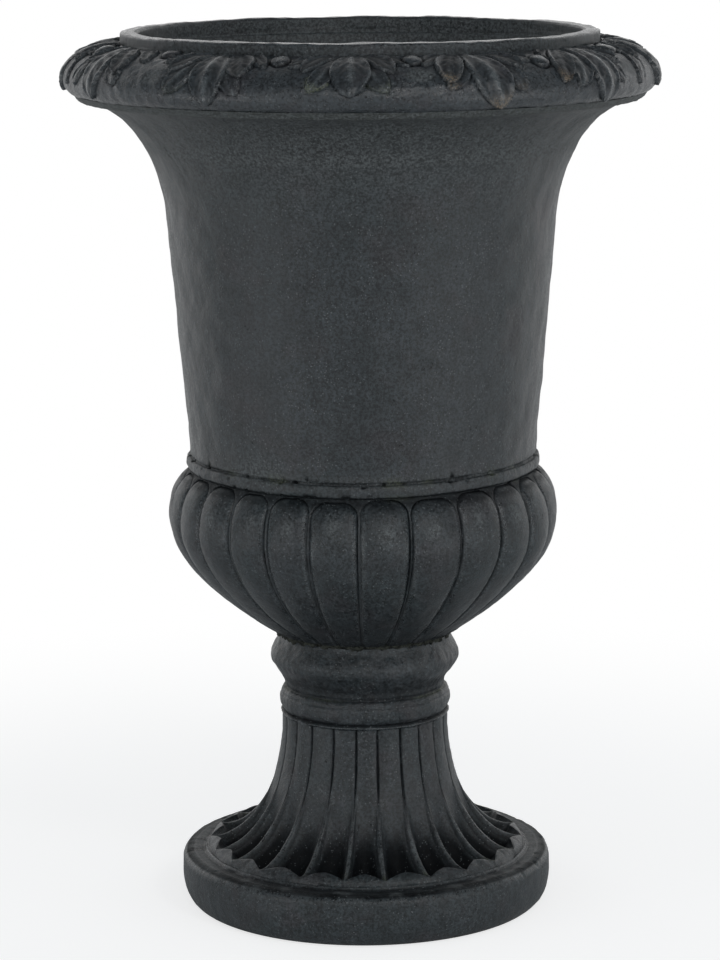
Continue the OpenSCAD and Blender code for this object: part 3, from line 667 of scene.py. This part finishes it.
# %% Finish the foot casting
foot_grid = around(foot_r, foot_z, foot_angles)
LEAN = 1.6
twist = np.radians(LEAN) * ease(foot_grid[:, :, 2], 55, 140)
across, back = foot_grid[:, :, 0].copy(), foot_grid[:, :, 1].copy()
foot_grid[:, :, 0] = across * np.cos(twist) - back * np.sin(twist)
foot_grid[:, :, 1] = across * np.sin(twist) + back * np.cos(twist)
above = on_runs(foot_rows, "band", "collar", "neck", "knop")
free = above + on_runs(foot_rows, "plinth_side", "plinth_top", "apron", "flutes", "inside")
free = free * ease(plain_z, 0.2, 4) * ease(plain_z, FOOT_TOP, FOOT_TOP - 3)
edge_chips = ease(lumps(foot_grid, 13, 61), 0.75, 1.3) * peak(foot_z, PLINTH_EDGE, 4) * (foot_r > 149)
moved = (0.4 * lumps(foot_grid, 80, 62) + 0.2 * lumps(foot_grid, 22, 63) + 0.1 * lumps(foot_grid, 8, 64)
         + above * (0.35 * lumps(foot_grid, 26, 65) + 0.2 * lumps(foot_grid, 9, 66)) - 1.2 * edge_chips)
foot_grid = pushed_out(foot_grid, moved * free)
foot_grid[:, :, 2] = np.maximum(foot_grid[:, :, 2], 0)
print("the foot casting is", foot_grid[:, :, 2].max().round(1), "mm high")

# %% Masks and mesh of the foot casting
# Painted light: the plinth's top is paler towards the sides and darker at the front, broken up by lumps.
painted_side_light = ease(lumps(foot_grid, 22, 71) + 1.2 * ease(np.abs(turn_from(foot_angles)), 30, 75), 0.2, 0.9)
plinth_top_band = peak(foot_z, PLINTH_TOP, 1.8)
hollow = 0.5 * plinth_top_band * (foot_r > 137) * (1 - painted_side_light)
# Painted shade in the quirks, under the neck and under the knop.
for low, wide, strength in ((PLINTH_TOP - 0.9, 0.9, 0.85), (BAND_TOP, 1.2, 0.85),
                            (NECK_Z + 1.5, 2.2, 0.5), (KNOP_Z + 6, 6, 0.5)):
    hollow += strength * peak(plain_z, low, wide) * (plain_r > 60) * (np.abs(plain_r - 145) > 5)
# Painted shade in the pockets, beside the cords and along the arrises near the neck.
hollow[cut] += (1.05 * ease(cut_in, 3.5, 9.5) * ease(turn, 35, 70) + 0.2 * ease(turn, 20, 60)
                + 0.35 * peak(beside_cord, 0, 0.6) * (turn < 82) * (1 - plain_top)
                + 0.7 * peak(from_arris, 0, 0.9) * plain_top)
raised = (0.5 * peak(foot_z, PLINTH_EDGE, 2.5) * (foot_r > 148)
          + 0.9 * peak(foot_z, BAND_LOW + 0.7, 0.8) * (foot_r > 70) * (foot_r < 75)
          + 0.7 * peak(foot_r, PLINTH_RING_R, 0.8) * (foot_z > 45.5) * (foot_z < 49))
raised[cut] += ease(from_arris, cord_half * 0.9, cord_half * 0.4) * ease(turn, 30, 60)
lime = (0.6 * peak(foot_z, NECK_Z, 0.8) * (foot_r < 75) * (foot_r > 60)
        * ease(lumps(foot_grid, 50, 69), -0.2, 0.6))
lime[cut] += (0.7 * ease(turn, 76, 86) * ease(from_arris, 4, 1)
              * ease(lumps(foot_grid[cut], 30, 67), -0.1, 0.6))
# Painted light on the plinth's sides, pale patches on the flutes, and painted glints on the lower
# arrises.
bloom_and_painted_light = 0.9 * painted_side_light * plinth_top_band * ease(foot_r, 140.5, 143)
bloom_and_painted_light[cut] += (0.4 * ease(lumps(foot_grid[cut], 14, 72), 0.2, 1.0) * ease(turn, 62, 30)
               + 0.6 * ease(from_arris, cord_half * 0.8, cord_half * 0.3) * ease(turn, 52, 72))
fluted_foot = make_piece("fluted_foot", foot_grid, "pedestal_shell", {
    "hollow": hollow, "raised": raised, "lime": lime, "bloom_and_painted_light": bloom_and_painted_light,
    "rough": above * ease(lumps(foot_grid, 35, 68), -0.2, 0.8)})

# %% [markdown]
# ## Mortar between the castings
# Two beds of mortar hold the urn together: one between the knop and the bowl, squeezed out ragged
# at its edge, and one under and inside the rim ring, whose edge was rubbed down and stained with
# the rest. That bed is lightened with painted light where the roll shades it.

# %% The neck joint and the rim's bed
def spun(name, runs, columns, node, ragged=(), lump_size=9, lump_height=0.0, sharp=50,
         masks=None):
    """A turned piece, with lumps of a size and height in mm on its ragged runs."""
    angles = np.linspace(0, 2 * math.pi, columns, endpoint=False)
    radii, heights, rows_of = turned(runs, angles)
    grid = around(radii, heights, angles)
    if lump_height:
        field = lumps(grid, lump_size, 71) + 0.5 * lumps(grid, lump_size / 3, 72)
        grid = pushed_out(grid, lump_height * field * on_runs(rows_of, *ragged))
    return make_piece(name, grid, node, masks, sharp)


BED_TOP = 738
neck_joint = spun("neck_joint", [
    ("edge", [*beside(70, FOOT_TOP, (0, -0.8), (3.6, -0.7), (4.6, 1), (5.2, 3)),
              *beside(70, BOWL_Z, (4.4, 1.4), (0, 0.8))], 0.6),
    ("top", [(70, BOWL_Z), (HOLE_R, BOWL_Z)], 8),
    ("hole", [(HOLE_R, BOWL_Z), (HOLE_R, FOOT_TOP)], 2),
    ("under", [(HOLE_R, FOOT_TOP), (70, FOOT_TOP)], 8)], 480, "neck_mortar", ["edge"], 8, 1.5)
# The bed's bloom mask lightens it with painted light, where the roll shades it.
rim_bed = spun("rim_bed", [
    ("edge", beside(233.4, FLANGE_Z, (0, -3.4), (2.2, -2.6), (4, -1.0), (5.3, 0.8), (6.4, 2.7),
                    (3.6, 3.2)), 0.6),
    ("low_top", [(235, FLANGE_Z + BOND), (ROLL_IN_R, FLANGE_Z + BOND)], 6),
    ("outer", [(ROLL_IN_R, FLANGE_Z + BOND), (ROLL_IN_R, BED_TOP)], 6),
    ("top", [(ROLL_IN_R, BED_TOP), (LIP_R, BED_TOP)], 0.5),
    ("inner", [(LIP_R, BED_TOP), (LIP_R, FLANGE_Z)], 6),
    ("under", [(LIP_R, FLANGE_Z), (233, FLANGE_Z)], 6)], 480, "rim_bond",
    ["top", "edge"], 9, 0.3, masks={"rough": 1.0, "lime": 0.12, "bloom_and_painted_light": 0.8})

# %% [markdown]
# ## The clamp and drain
# A hollow threaded tube runs down the axis through the bowl's floor and the foot's cap. A nut, a
# broad washer and a rubber seal close it in the bowl, and a washer and a nut pull the foot up from
# below. The thread is real geometry: the tube's radius follows a triangle wave that climbs one
# pitch for each turn. The nuts are prisms cut by a cone, which gives their curved chamfers.

# %% The threaded tube
TUBE_R, BORE_R, TUBE_LOW, TUBE_HIGH, PITCH, THREAD = 13.2, 10.5, 198.5, 269.5, 2.0, 0.9
tube_angles = np.linspace(0, 2 * math.pi, 72, endpoint=False)
tube_r, tube_z, tube_rows = turned([
    ("thread", [(TUBE_R, TUBE_LOW), (TUBE_R, TUBE_HIGH)], PITCH / 5),
    ("top", [(TUBE_R - THREAD, TUBE_HIGH), (BORE_R + 0.3, TUBE_HIGH)], 1),
    ("bore", [(BORE_R, TUBE_HIGH - 0.4), (BORE_R, TUBE_LOW + 0.4)], 8),
    ("under", [(BORE_R + 0.3, TUBE_LOW), (TUBE_R - THREAD, TUBE_LOW)], 1)], tube_angles)
thread = tube_rows["thread"]
climb = (tube_z[thread] / PITCH - tube_angles / (2 * math.pi)) % 1
run_out = np.clip(np.minimum(tube_z[thread] - TUBE_LOW, TUBE_HIGH - tube_z[thread]) / 1.2, 0, 1)
tube_r[thread] = TUBE_R - THREAD * np.maximum(np.abs(2 * climb - 1), 1 - run_out)
drain_pipe = make_piece("drain_pipe", around(tube_r, tube_z, tube_angles), "drain_tube",
                        sharp=35)

# %% Washers, seal and nuts
def flat_washer(name, low, radius, node, bulge, thick=3):
    """A flat ring with rounded edges. A positive bulge swells its rim, as pressed rubber does."""
    return spun(name, [
        ("rim", beside(radius, low, (-0.5, 0), (-0.1, 0.25), (bulge, thick / 2), (-0.1, thick - 0.25),
                       (-0.5, thick)), 0.3),
        ("top", [(radius - 0.5, low + thick), (HOLE_R + 0.3, low + thick)], 3),
        ("bore", [(HOLE_R, low + thick - 0.3), (HOLE_R, low + 0.3)], 1),
        ("under", [(HOLE_R + 0.3, low), (radius - 0.5, low)], 3)], 96, node, sharp=35)


def chamfered_nut(name, low, node, flat=20.5, tall=8, face_r=19.4, mouth_r=13.9):
    """A hexagonal nut, 41 mm across its flats and 8 mm high, with its corners cut by a cone."""
    angles = np.linspace(0, 2 * math.pi, 120, endpoint=False)
    to_flat = (angles + math.pi / 6) % (math.pi / 3) - math.pi / 6
    corner = np.minimum(flat / np.cos(to_flat), flat / math.cos(math.pi / 6) - 0.25)
    drop = (corner - face_r) * math.tan(math.radians(30))
    rows = [(mouth_r, 0), (face_r, 0), (corner, drop), (corner, tall / 2), (corner, tall - drop),
            (face_r, tall), (mouth_r, tall), (TUBE_R, tall - 0.7), (TUBE_R, 0.7)]
    radii, heights = (np.array([np.broadcast_to(value, angles.shape) for value in values])
                      for values in zip(*rows))
    return make_piece(name, around(radii, low + heights, angles), node, sharp=25)


pressed_seal = flat_washer("pressed_seal", 254, 30, "floor_seal", 0.5)
upper_washer = flat_washer("upper_washer", 257, 35, "floor_washer", 0)
upper_nut = chamfered_nut("upper_nut", 260, "floor_nut")
lower_washer = flat_washer("lower_washer", 208, 35, "foot_washer", 0)
lower_nut = chamfered_nut("lower_nut", 200, "foot_nut")

# %% [markdown]
# ## Effects as node groups
# The castings share four effects, so each is a node group, built once and placed in each material
# with its own values: clouds of colour in the dark finish, the grain and pinholes of cast cement,
# wear and painted highlights on what stands proud, and painted shade in hollows with dust on what
# faces up. All of them are worked out in the object's own coordinates in metres, so a scale of 100
# means features about a centimetre apart.

# %% Small helpers for node trees
def plug(tree, socket, value):
    """Links another node's output to a socket, or sets the socket to a plain value."""
    if isinstance(value, bpy.types.NodeSocket):
        tree.links.new(value, socket)
    else:
        socket.default_value = value


def plug_all(tree, sockets, values):
    """Plugs values into the sockets by their labels."""
    for label, value in values.items():
        plug(tree, sockets[label], value)


def add_node(tree, kind, settings=None, **inputs):
    """A node with its settings. Inputs go by label, with _ for a space, or by number, such as i0."""
    node = tree.nodes.new(f"ShaderNode{kind}")
    for name, value in (settings or {}).items():
        setattr(node, name, value)
    for label, value in inputs.items():
        numbered = label[0] == "i" and label[1:].isdigit()
        plug(tree, node.inputs[int(label[1:]) if numbered else label.replace("_", " ")], value)
    return node


def new_group(name, inputs, outputs):
    """A node group with named inputs and outputs: its tree, what it is given and what it gives."""
    tree = bpy.data.node_groups.new(name, "ShaderNodeTree")
    for label, value in inputs.items():
        kind = "NodeSocketColor" if isinstance(value, tuple) else "NodeSocketFloat"
        tree.interface.new_socket(name=label, in_out="INPUT", socket_type=kind).default_value = value
    for label in outputs:
        kind = "NodeSocketColor" if label == "Color" else "NodeSocketFloat"
        tree.interface.new_socket(name=label, in_out="OUTPUT", socket_type=kind)
    return tree, tree.nodes.new("NodeGroupInput").outputs, tree.nodes.new("NodeGroupOutput").inputs


def noise(tree, where, scale, detail, rough, seed):
    """A noise texture's value, from 0 to 1, with its own seed as an offset along W."""
    return add_node(tree, "TexNoise", {"noise_dimensions": "4D"}, Vector=where, W=seed, Scale=scale,
                    Detail=detail, Roughness=rough).outputs["Fac"]


def ramp(tree, value, low, high, to_low=0.0, to_high=1.0):
    """Maps a value from low..high to to_low..to_high, with a smooth start and end."""
    return add_node(tree, "MapRange", {"interpolation_type": "SMOOTHSTEP"}, Value=value, From_Min=low,
                    From_Max=high, To_Min=to_low, To_Max=to_high).outputs["Result"]


def maths(tree, operation, first, second):
    return add_node(tree, "Math", {"operation": operation}, i0=first, i1=second).outputs[0]


def times(tree, first, *others):
    """The product of values and outputs."""
    for other in others:
        first = maths(tree, "MULTIPLY", first, other)
    return first


def blend(tree, share, first, second, kind="MIX"):
    """A colour mixed from two colours by a share, each a value or an output."""
    return add_node(tree, "Mix", {"data_type": "RGBA", "blend_type": kind, "clamp_factor": True},
                    i0=share, i6=first, i7=second).outputs[2]


def mottle(tree, share, colour, factor):
    """The colour, multiplied by a factor to the given share."""
    return blend(tree, share, colour, blend(tree, 1.0, colour, factor, "MULTIPLY"))


def own_place(tree):
    return add_node(tree, "TexCoord").outputs["Object"]


def mask_value(tree, name):
    return add_node(tree, "Attribute", {"attribute_name": name}).outputs["Fac"]


def new_material(name):
    """A new material, its node tree and its Principled shader."""
    material = bpy.data.materials.new(name)
    material.use_nodes = True
    return material, material.node_tree, material.node_tree.nodes["Principled BSDF"]


print("node helpers ready")

# %% [markdown]
# The finish is a thin dark stain over grey cement, sponged on and waxed. Two noises mix its base
# with a cooler and a warmer colour in broad clouds. A third one makes it lighter and darker, a
# stretched one leaves faint streaks that run down, and the last makes fine freckles.

# %% The clouded stain group
stain, given, gives = new_group("clouded_stain", {
    "Base": (0.0205, 0.0250, 0.0280, 1), "Cool": (0.0175, 0.0230, 0.0255, 1),
    "Warm": (0.0245, 0.0235, 0.0262, 1), "Cloud Scale": 14.0, "Freckle Scale": 430.0,
    "Freckles": 0.9, "Streaks": 0.4}, ("Color", "Freckle"))
where, cloud_scale = own_place(stain), given["Cloud Scale"]
cloud = noise(stain, where, cloud_scale, 5, 0.65, 1.0)
warm_cloud = noise(stain, where, times(stain, cloud_scale, 1.7), 4, 0.6, 5.0)
light_cloud = noise(stain, where, times(stain, cloud_scale, 4.0), 6, 0.7, 11.0)
freckle = noise(stain, where, given["Freckle Scale"], 6, 0.75, 9.0)
long_way = add_node(stain, "Mapping", Vector=where, Scale=(1.0, 1.0, 0.14)).outputs["Vector"]
run_down = noise(stain, long_way, 150.0, 4, 0.65, 13.0)
colour = blend(stain, ramp(stain, cloud, 0.42, 0.62), given["Base"], given["Cool"])
colour = blend(stain, ramp(stain, warm_cloud, 0.5, 0.68, 0.0, 0.7), colour, given["Warm"])
colour = mottle(stain, 0.9, colour, ramp(stain, light_cloud, 0.34, 0.66, 0.82, 1.2))
colour = mottle(stain, given["Streaks"], colour, ramp(stain, run_down, 0.35, 0.65, 0.75, 1.3))
colour = mottle(stain, given["Freckles"], colour, ramp(stain, freckle, 0.41, 0.59, 0.4, 1.8))
plug_all(stain, gives, {"Color": colour, "Freckle": freckle})
print("clouded_stain has", len(stain.nodes), "nodes")

# %% [markdown]
# Cast cement has a fine sandy grain, shallow dents where it shrank, and pinholes left by air in the
# mould, and pale grains of sand show here and there. The group gives one height in metres for a bump
# node, and masks of the pinholes and the pale flecks. Rough places get a coarser, crumbling layer.

# %% The cement grain group
grain, given, gives = new_group(
    "cement_grain", {"Grain": 0.0004, "Dents": 0.0008, "Pinholes": 0.0005, "Crumble": 0.0014,
                     "Rough": 0.0}, ("Height", "Holes", "Grain", "Flecks"))
where = own_place(grain)
sand = noise(grain, where, 800.0, 4, 0.7, 2.0)
dents = noise(grain, where, 120.0, 4, 0.6, 3.0)
crumbs = noise(grain, where, 330.0, 5, 0.7, 4.0)


def scattered(cell_scale, wide, patch_scale, detail, rough, seed, low, high):
    """Small round spots in cells, only in some patches."""
    cells = add_node(grain, "TexVoronoi", Vector=where, Scale=cell_scale).outputs["Distance"]
    patches = ramp(grain, noise(grain, where, patch_scale, detail, rough, seed), low, high)
    return times(grain, ramp(grain, cells, wide, 0.12), patches)


holes = scattered(210.0, 0.22, 75.0, 2, 0.5, 6.0, 0.56, 0.66)
flecks = scattered(340.0, 0.24, 50.0, 3, 0.6, 16.0, 0.4, 0.58)
total = maths(grain, "ADD", times(grain, sand, given["Grain"]), times(grain, dents, given["Dents"]))
total = maths(grain, "ADD", total, times(grain, crumbs, given["Crumble"], given["Rough"]))
total = maths(grain, "SUBTRACT", total, times(grain, holes, given["Pinholes"]))
plug_all(grain, gives, {"Height": total, "Holes": holes, "Grain": sand, "Flecks": flecks})
print("cement_grain has", len(grain.nodes), "nodes")

# %% [markdown]
# Wear is strongest where a hand or cloth rubs: ridges, leaf edges, the plinth's edge and the lip.
# The mesh says where those are, in its "raised" mask, which also holds painted highlights on the
# gadroons' shoulders and the leaves' ridges, and a noise breaks it up. The opposite mask, of the
# hollows, says where painted shade darkens the colour and the finish is rougher and less shiny.
# Dust settles in patches on whatever faces up.

# %% The wear and highlight group, and the shade and dust group
# Wear and painted highlights, from the raised mask.
wear_and_highlight_group, given, gives = new_group("wear_and_painted_highlights", {"Amount": 0.6, "Break Up": 60.0}, ("Mask",))
broken = ramp(wear_and_highlight_group, noise(wear_and_highlight_group, own_place(wear_and_highlight_group), given["Break Up"], 5, 0.65, 7.0), 0.4, 0.62)
plug(wear_and_highlight_group, gives["Mask"], times(wear_and_highlight_group, mask_value(wear_and_highlight_group, "raised"), broken, given["Amount"]))

# Painted shade in the hollows, and dust on what faces up.
shade_and_dust, given, gives = new_group("settled_in_hollows", {"Shade": 0.8, "Dust": 0.3}, ("Shade", "Dust"))
patchy = ramp(shade_and_dust, noise(shade_and_dust, own_place(shade_and_dust), 45.0, 4, 0.6, 8.0), 0.35, 0.65)
normal = add_node(shade_and_dust, "NewGeometry").outputs["Normal"]
facing = add_node(shade_and_dust, "SeparateXYZ", Vector=normal).outputs["Z"]
plug(shade_and_dust, gives["Shade"], times(shade_and_dust, mask_value(shade_and_dust, "hollow"), given["Shade"]))
plug(shade_and_dust, gives["Dust"], times(shade_and_dust, ramp(shade_and_dust, facing, 0.55, 1.0), patchy, given["Dust"]))
print("wear_and_painted_highlights and settled_in_hollows built")

# %% [markdown]
# ## Materials of the castings
# Each casting has a material of its own, because the rim is smoother and bluer than the bell, and
# the foot is streakier. The steps are the same: the stain, pale bloom and painted light, painted
# shade in the hollows, wear and painted highlights on the ridges, dust on what faces up, lime and
# rubbed spots, dark pinholes and pale flecks.
# Roughness follows the same masks, since worn and waxed places shine more than rough ones.

# %% A cement material
# The darkest colour is painted shade, in the hollows and in the pinholes.
LIME, BARE = (0.105, 0.118, 0.072, 1), (0.24, 0.18, 0.12, 1)
BLOOM_AND_LIGHT_COLOUR, PALE = (0.051, 0.057, 0.0585, 1), (0.16, 0.175, 0.18, 1)
DUST, PAINTED_SHADE_COLOUR = (0.06, 0.065, 0.065, 1), (0.003, 0.0035, 0.0045, 1)


def use_group(tree, group, values):
    """Places a group in a material, with its inputs set by name, and gives its outputs."""
    node = tree.nodes.new("ShaderNodeGroup")
    node.node_tree = group
    plug_all(tree, node.inputs, values)
    return node.outputs


def cement_material(name, stain_values, grain_values, wear_amount, shade, dust, roughness, shine):
    """The dark finish over cement, with the values that differ from casting to casting."""
    material, tree, shader = new_material(name)
    colours = use_group(tree, stain, stain_values)
    surface = use_group(tree, grain, {"Rough": mask_value(tree, "rough"), **grain_values})
    wear_and_painted_highlight = use_group(tree, wear_and_highlight_group, {"Amount": wear_amount})
    hollows = use_group(tree, shade_and_dust, {"Shade": shade, "Dust": dust})
    bloom_and_light_mask = mask_value(tree, "bloom_and_painted_light")
    freckles = ramp(tree, colours["Freckle"], 0.41, 0.59, 0.4, 1.8)
    mottled_bloom_and_light = blend(tree, 1.0, BLOOM_AND_LIGHT_COLOUR, freckles, "MULTIPLY")
    crumbly = ramp(tree, surface["Grain"], 0.42, 0.6)
    colour = colours["Color"]
    # Layers: bloom and painted light, painted shade, wear and painted highlights, dust, lime, rubbed
    # spots, painted shade in pinholes, pale flecks.
    for share, coat in (
            (times(tree, bloom_and_light_mask, ramp(tree, colours["Freckle"], 0.36, 0.6, 0.35, 1.0)), mottled_bloom_and_light),
            (hollows["Shade"], PAINTED_SHADE_COLOUR), (wear_and_painted_highlight["Mask"], PALE), (hollows["Dust"], DUST),
            (times(tree, mask_value(tree, "lime"), crumbly), LIME),
            (times(tree, mask_value(tree, "rubbed"), crumbly), BARE),
            (times(tree, surface["Holes"], 0.8), PAINTED_SHADE_COLOUR), (times(tree, surface["Flecks"], 0.55), PALE)):
        colour = blend(tree, share, colour, coat)
    rough = ramp(tree, colours["Freckle"], 0.36, 0.64, roughness - 0.1, roughness + 0.12)
    rough = maths(tree, "ADD", rough, times(tree, hollows["Shade"], 0.3))
    rough = maths(tree, "ADD", rough, times(tree, bloom_and_light_mask, 0.2))
    rough = maths(tree, "SUBTRACT", rough, times(tree, mask_value(tree, "raised"), 0.2))
    bump = add_node(tree, "Bump", Height=surface["Height"], Distance=1.0, Strength=1.0)
    sheen = ramp(tree, hollows["Shade"], 0.0, 0.8, shine, shine * 0.25)
    plug_all(tree, shader.inputs, {"Base Color": colour, "Roughness": rough, "Specular IOR Level": sheen,
                                   "Normal": bump.outputs["Normal"]})
    print(f"{name}: {len(tree.nodes)} nodes")
    return material


RIM_STAIN = {"Base": (0.0245, 0.0295, 0.0335, 1), "Cool": (0.0205, 0.0260, 0.0305, 1),
             "Warm": (0.0275, 0.0265, 0.0305, 1), "Cloud Scale": 22.0, "Freckles": 0.7, "Streaks": 0.3}
for piece, name, stain_values, grain_values, amounts in (
        (bowl_casting, "bowl_finish", {"Cloud Scale": 12.0}, {}, (0.2, 0.95, 0.01, 0.38, 0.6)),
        (leafed_rim, "rim_finish", RIM_STAIN, {"Dents": 0.0006, "Grain": 0.00025},
         (0.5, 0.85, 0.01, 0.34, 0.75)),
        (fluted_foot, "foot_finish", {"Cloud Scale": 18.0, "Streaks": 0.7}, {"Dents": 0.001},
         (0.28, 0.88, 0.01, 0.38, 0.6)),
        (rim_bed, "bed_finish", {"Cloud Scale": 25.0}, {"Dents": 0.001}, (0.2, 0.9, 0.15, 0.45, 0.6))):
    piece.data.materials.append(cement_material(name, stain_values, grain_values, *amounts))

# %% [markdown]
# ## Mortar, steel and rubber
# The mortar is the same cement without the wax, so it is rough and has no sheen. Zinc-plated steel
# is a dull metal with a cloudy spangle, and the rubber seal is matt, with dust.

# %% Plain materials with their own detail
def plain_material(name, low, high, scale, roughness, rough_by, metallic, shine, bump_height,
                   bump_scale):
    """A material whose colour and roughness wander between two values, with a fine bump."""
    material, tree, shader = new_material(name)
    where = own_place(tree)
    cloud = noise(tree, where, scale, 5, 0.65, 3.0)
    relief = times(tree, noise(tree, where, bump_scale, 5, 0.65, 4.0), bump_height)
    bump = add_node(tree, "Bump", Height=relief, Distance=1.0)
    plug_all(tree, shader.inputs, {
        "Base Color": blend(tree, ramp(tree, cloud, 0.38, 0.64), low, high),
        "Roughness": ramp(tree, cloud, 0.35, 0.65, roughness - rough_by, roughness + rough_by),
        "Metallic": metallic, "Specular IOR Level": shine, "Normal": bump.outputs["Normal"]})
    return material


mortar_finish = plain_material("mortar_finish", (0.010, 0.011, 0.010, 1), (0.052, 0.055, 0.045, 1),
                               240.0, 0.9, 0.05, 0.0, 0.2, 0.0012, 420.0)
zinc_finish = plain_material("zinc_finish", (0.50, 0.51, 0.52, 1), (0.66, 0.67, 0.68, 1),
                             160.0, 0.42, 0.1, 1.0, 0.5, 0.00005, 900.0)
rubber_finish = plain_material("rubber_finish", (0.022, 0.022, 0.024, 1), (0.05, 0.05, 0.05, 1),
                               90.0, 0.75, 0.08, 0.0, 0.4, 0.00008, 700.0)
neck_joint.data.materials.append(mortar_finish)
for piece in (drain_pipe, upper_washer, upper_nut, lower_washer, lower_nut):
    piece.data.materials.append(zinc_finish)
pressed_seal.data.materials.append(rubber_finish)
print("mortar, zinc and rubber placed")

# %% [markdown]
# ## Floor and light
# The photograph was taken in a white studio, with large soft lights and white all behind the urn,
# which the dark wax mirrors at its edges. The floor is a pale matt one for the light that falls on
# the urn. Where the camera looks at it, it is white far away and keeps the urn's shadow close by,
# and behind the urn it is whiter in a mirror too. The world is white where the camera looks at it
# and behind the urn in a mirror, and otherwise a soft fill.

# %% The studio floor
FLOOR_HALF = 40
WHITE = (1, 1, 1, 1)
floor_mesh = bpy.data.meshes.new("studio_floor")
floor_mesh.from_pydata([(x_side * FLOOR_HALF, y_side * FLOOR_HALF, 0) for x_side, y_side in
                        ((-1, -1), (1, -1), (1, 1), (-1, 1))], [], [(0, 1, 2, 3)])
studio_floor = bpy.data.objects.new("studio_floor", floor_mesh)
studio_floor.location.z = -0.0003
bpy.context.scene.collection.objects.link(studio_floor)
floor_paint, tree = new_material("floor_paint")[:2]
tree.nodes.clear()
matt = add_node(tree, "BsdfDiffuse", Color=(0.75, 0.75, 0.75, 1))
shadow_catch = add_node(tree, "BsdfDiffuse", Color=(0.46, 0.46, 0.46, 1))
own_white = add_node(tree, "Emission", Color=WHITE, Strength=0.70)
near_tone = add_node(tree, "AddShader", i0=shadow_catch.outputs[0], i1=own_white.outputs[0])
far_tone = add_node(tree, "Emission", Color=WHITE, Strength=1.0)
where = own_place(tree)
distance = add_node(tree, "VectorMath", {"operation": "LENGTH"}, i0=where).outputs["Value"]
seen_floor = add_node(tree, "MixShader", i0=ramp(tree, distance, 0.35, 1.1), i1=near_tone.outputs[0],
                      i2=far_tone.outputs[0])
path = add_node(tree, "LightPath").outputs
behind = ramp(tree, add_node(tree, "SeparateXYZ", Vector=where).outputs["Y"], -0.4, 0.8, 0.0, 0.5)
mirrored = times(tree, path["Is Glossy Ray"], behind, ramp(tree, distance, 0.4, 1.2))
white_for = maths(tree, "MAXIMUM", maths(tree, "MAXIMUM", path["Is Camera Ray"], mirrored),
                  path["Is Transmission Ray"])
floor_mix = add_node(tree, "MixShader", i0=white_for, i1=matt.outputs[0], i2=seen_floor.outputs[0])
add_node(tree, "OutputMaterial", Surface=floor_mix.outputs[0])
floor_mesh.materials.append(floor_paint)
print("floor is", 2 * FLOOR_HALF, "m wide")

# %% The world
world = bpy.data.worlds.new("studio_air")
bpy.context.scene.world = world
world.use_nodes = True
tree = world.node_tree
tree.nodes.clear()
looking = add_node(tree, "SeparateXYZ", Vector=add_node(tree, "TexCoord").outputs["Generated"]).outputs
backdrop = times(tree, ramp(tree, looking["Y"], 0.0, 0.95, 0.1, 0.9),
                 ramp(tree, looking["Z"], 0.25, 0.8, 1.0, 0.25))
fill = times(tree, ramp(tree, looking["Z"], 0.0, 0.6, 0.95, 0.28),
             ramp(tree, looking["Y"], -0.7, 0.4, 1.5, 0.9))
path = add_node(tree, "LightPath").outputs
mirrored = maths(tree, "MAXIMUM", path["Is Glossy Ray"], path["Is Transmission Ray"])
seen = maths(tree, "MAXIMUM", path["Is Camera Ray"], times(tree, mirrored, backdrop))
in_mirror = maths(tree, "SUBTRACT", 1.0, times(tree, mirrored, 0.8))
fill_light = add_node(tree, "Background", Color=(0.90, 0.96, 1.0, 1),
                      Strength=times(tree, fill, in_mirror))
white_room = add_node(tree, "Background", Color=WHITE, Strength=1.0)
room = add_node(tree, "MixShader", i0=seen, i1=fill_light.outputs[0], i2=white_room.outputs[0])
add_node(tree, "OutputWorld", Surface=room.outputs[0])
print("the world has", len(tree.nodes), "nodes")

# %% The lamps
SOFT_BOXES = {  # place in m, height that it looks at, width, height, watts
    "front_light": ((0.2, -2.8, 1.5), 0.4, 1.0, 0.8, 6.5),
    "high_light": ((1.2, -2.0, 1.9), 0.4, 0.5, 0.5, 7),
    "low_left_light": ((-1.5, -1.1, 0.1), 0.6, 0.8, 0.5, 4.2),
    "low_right_light": ((1.5, -1.1, 0.1), 0.6, 0.8, 0.5, 4.2),
    "left_light": ((-1.9, 1.3, 1.0), 0.4, 0.7, 2.0, 3),
    "right_light": ((1.9, 1.3, 1.0), 0.4, 0.7, 2.0, 3)}
for name, (place, aim, wide, tall, watts) in SOFT_BOXES.items():
    lamp = bpy.data.lights.new(name, "AREA")
    lamp.shape, lamp.size, lamp.size_y, lamp.energy = "RECTANGLE", wide, tall, watts
    holder = bpy.data.objects.new(name, lamp)
    holder.location = place
    holder.rotation_euler = (Vector((0, 0, aim)) - Vector(place)).to_track_quat("-Z", "Y").to_euler()
    bpy.context.scene.collection.objects.link(holder)
    print(f"{name}: {watts} W, {wide} by {tall} m")

# %% [markdown]
# ## Camera
# The camera stands about three metres away, a little above the rim, and looks down by some ten
# degrees, with a long lens. These numbers come from fitting the ellipses of rim, bead and plinth.

# %% Place the camera
camera_data = bpy.data.cameras.new("photo_camera")
camera_data.lens = 131.84
camera = bpy.data.objects.new("photo_camera", camera_data)
bpy.context.scene.collection.objects.link(camera)
CAMERA_DISTANCE, CAMERA_HEIGHT, CAMERA_TURN = 2.9506, 0.9211, math.radians(1.2)
stand = Matrix.Translation((CAMERA_DISTANCE * math.sin(CAMERA_TURN),
                            -CAMERA_DISTANCE * math.cos(CAMERA_TURN), CAMERA_HEIGHT))
for degrees, axis in ((1.257, "Z"), (79.352, "X"), (-0.416, "Z")):
    stand = stand @ Matrix.Rotation(math.radians(degrees), 4, axis)
camera.matrix_world = stand
bpy.context.scene.camera = camera
bpy.context.scene.view_settings.view_transform = "Standard"
print("camera stands at", [round(value, 3) for value in camera.matrix_world.translation])

# %% Update the scene
bpy.context.view_layer.update()
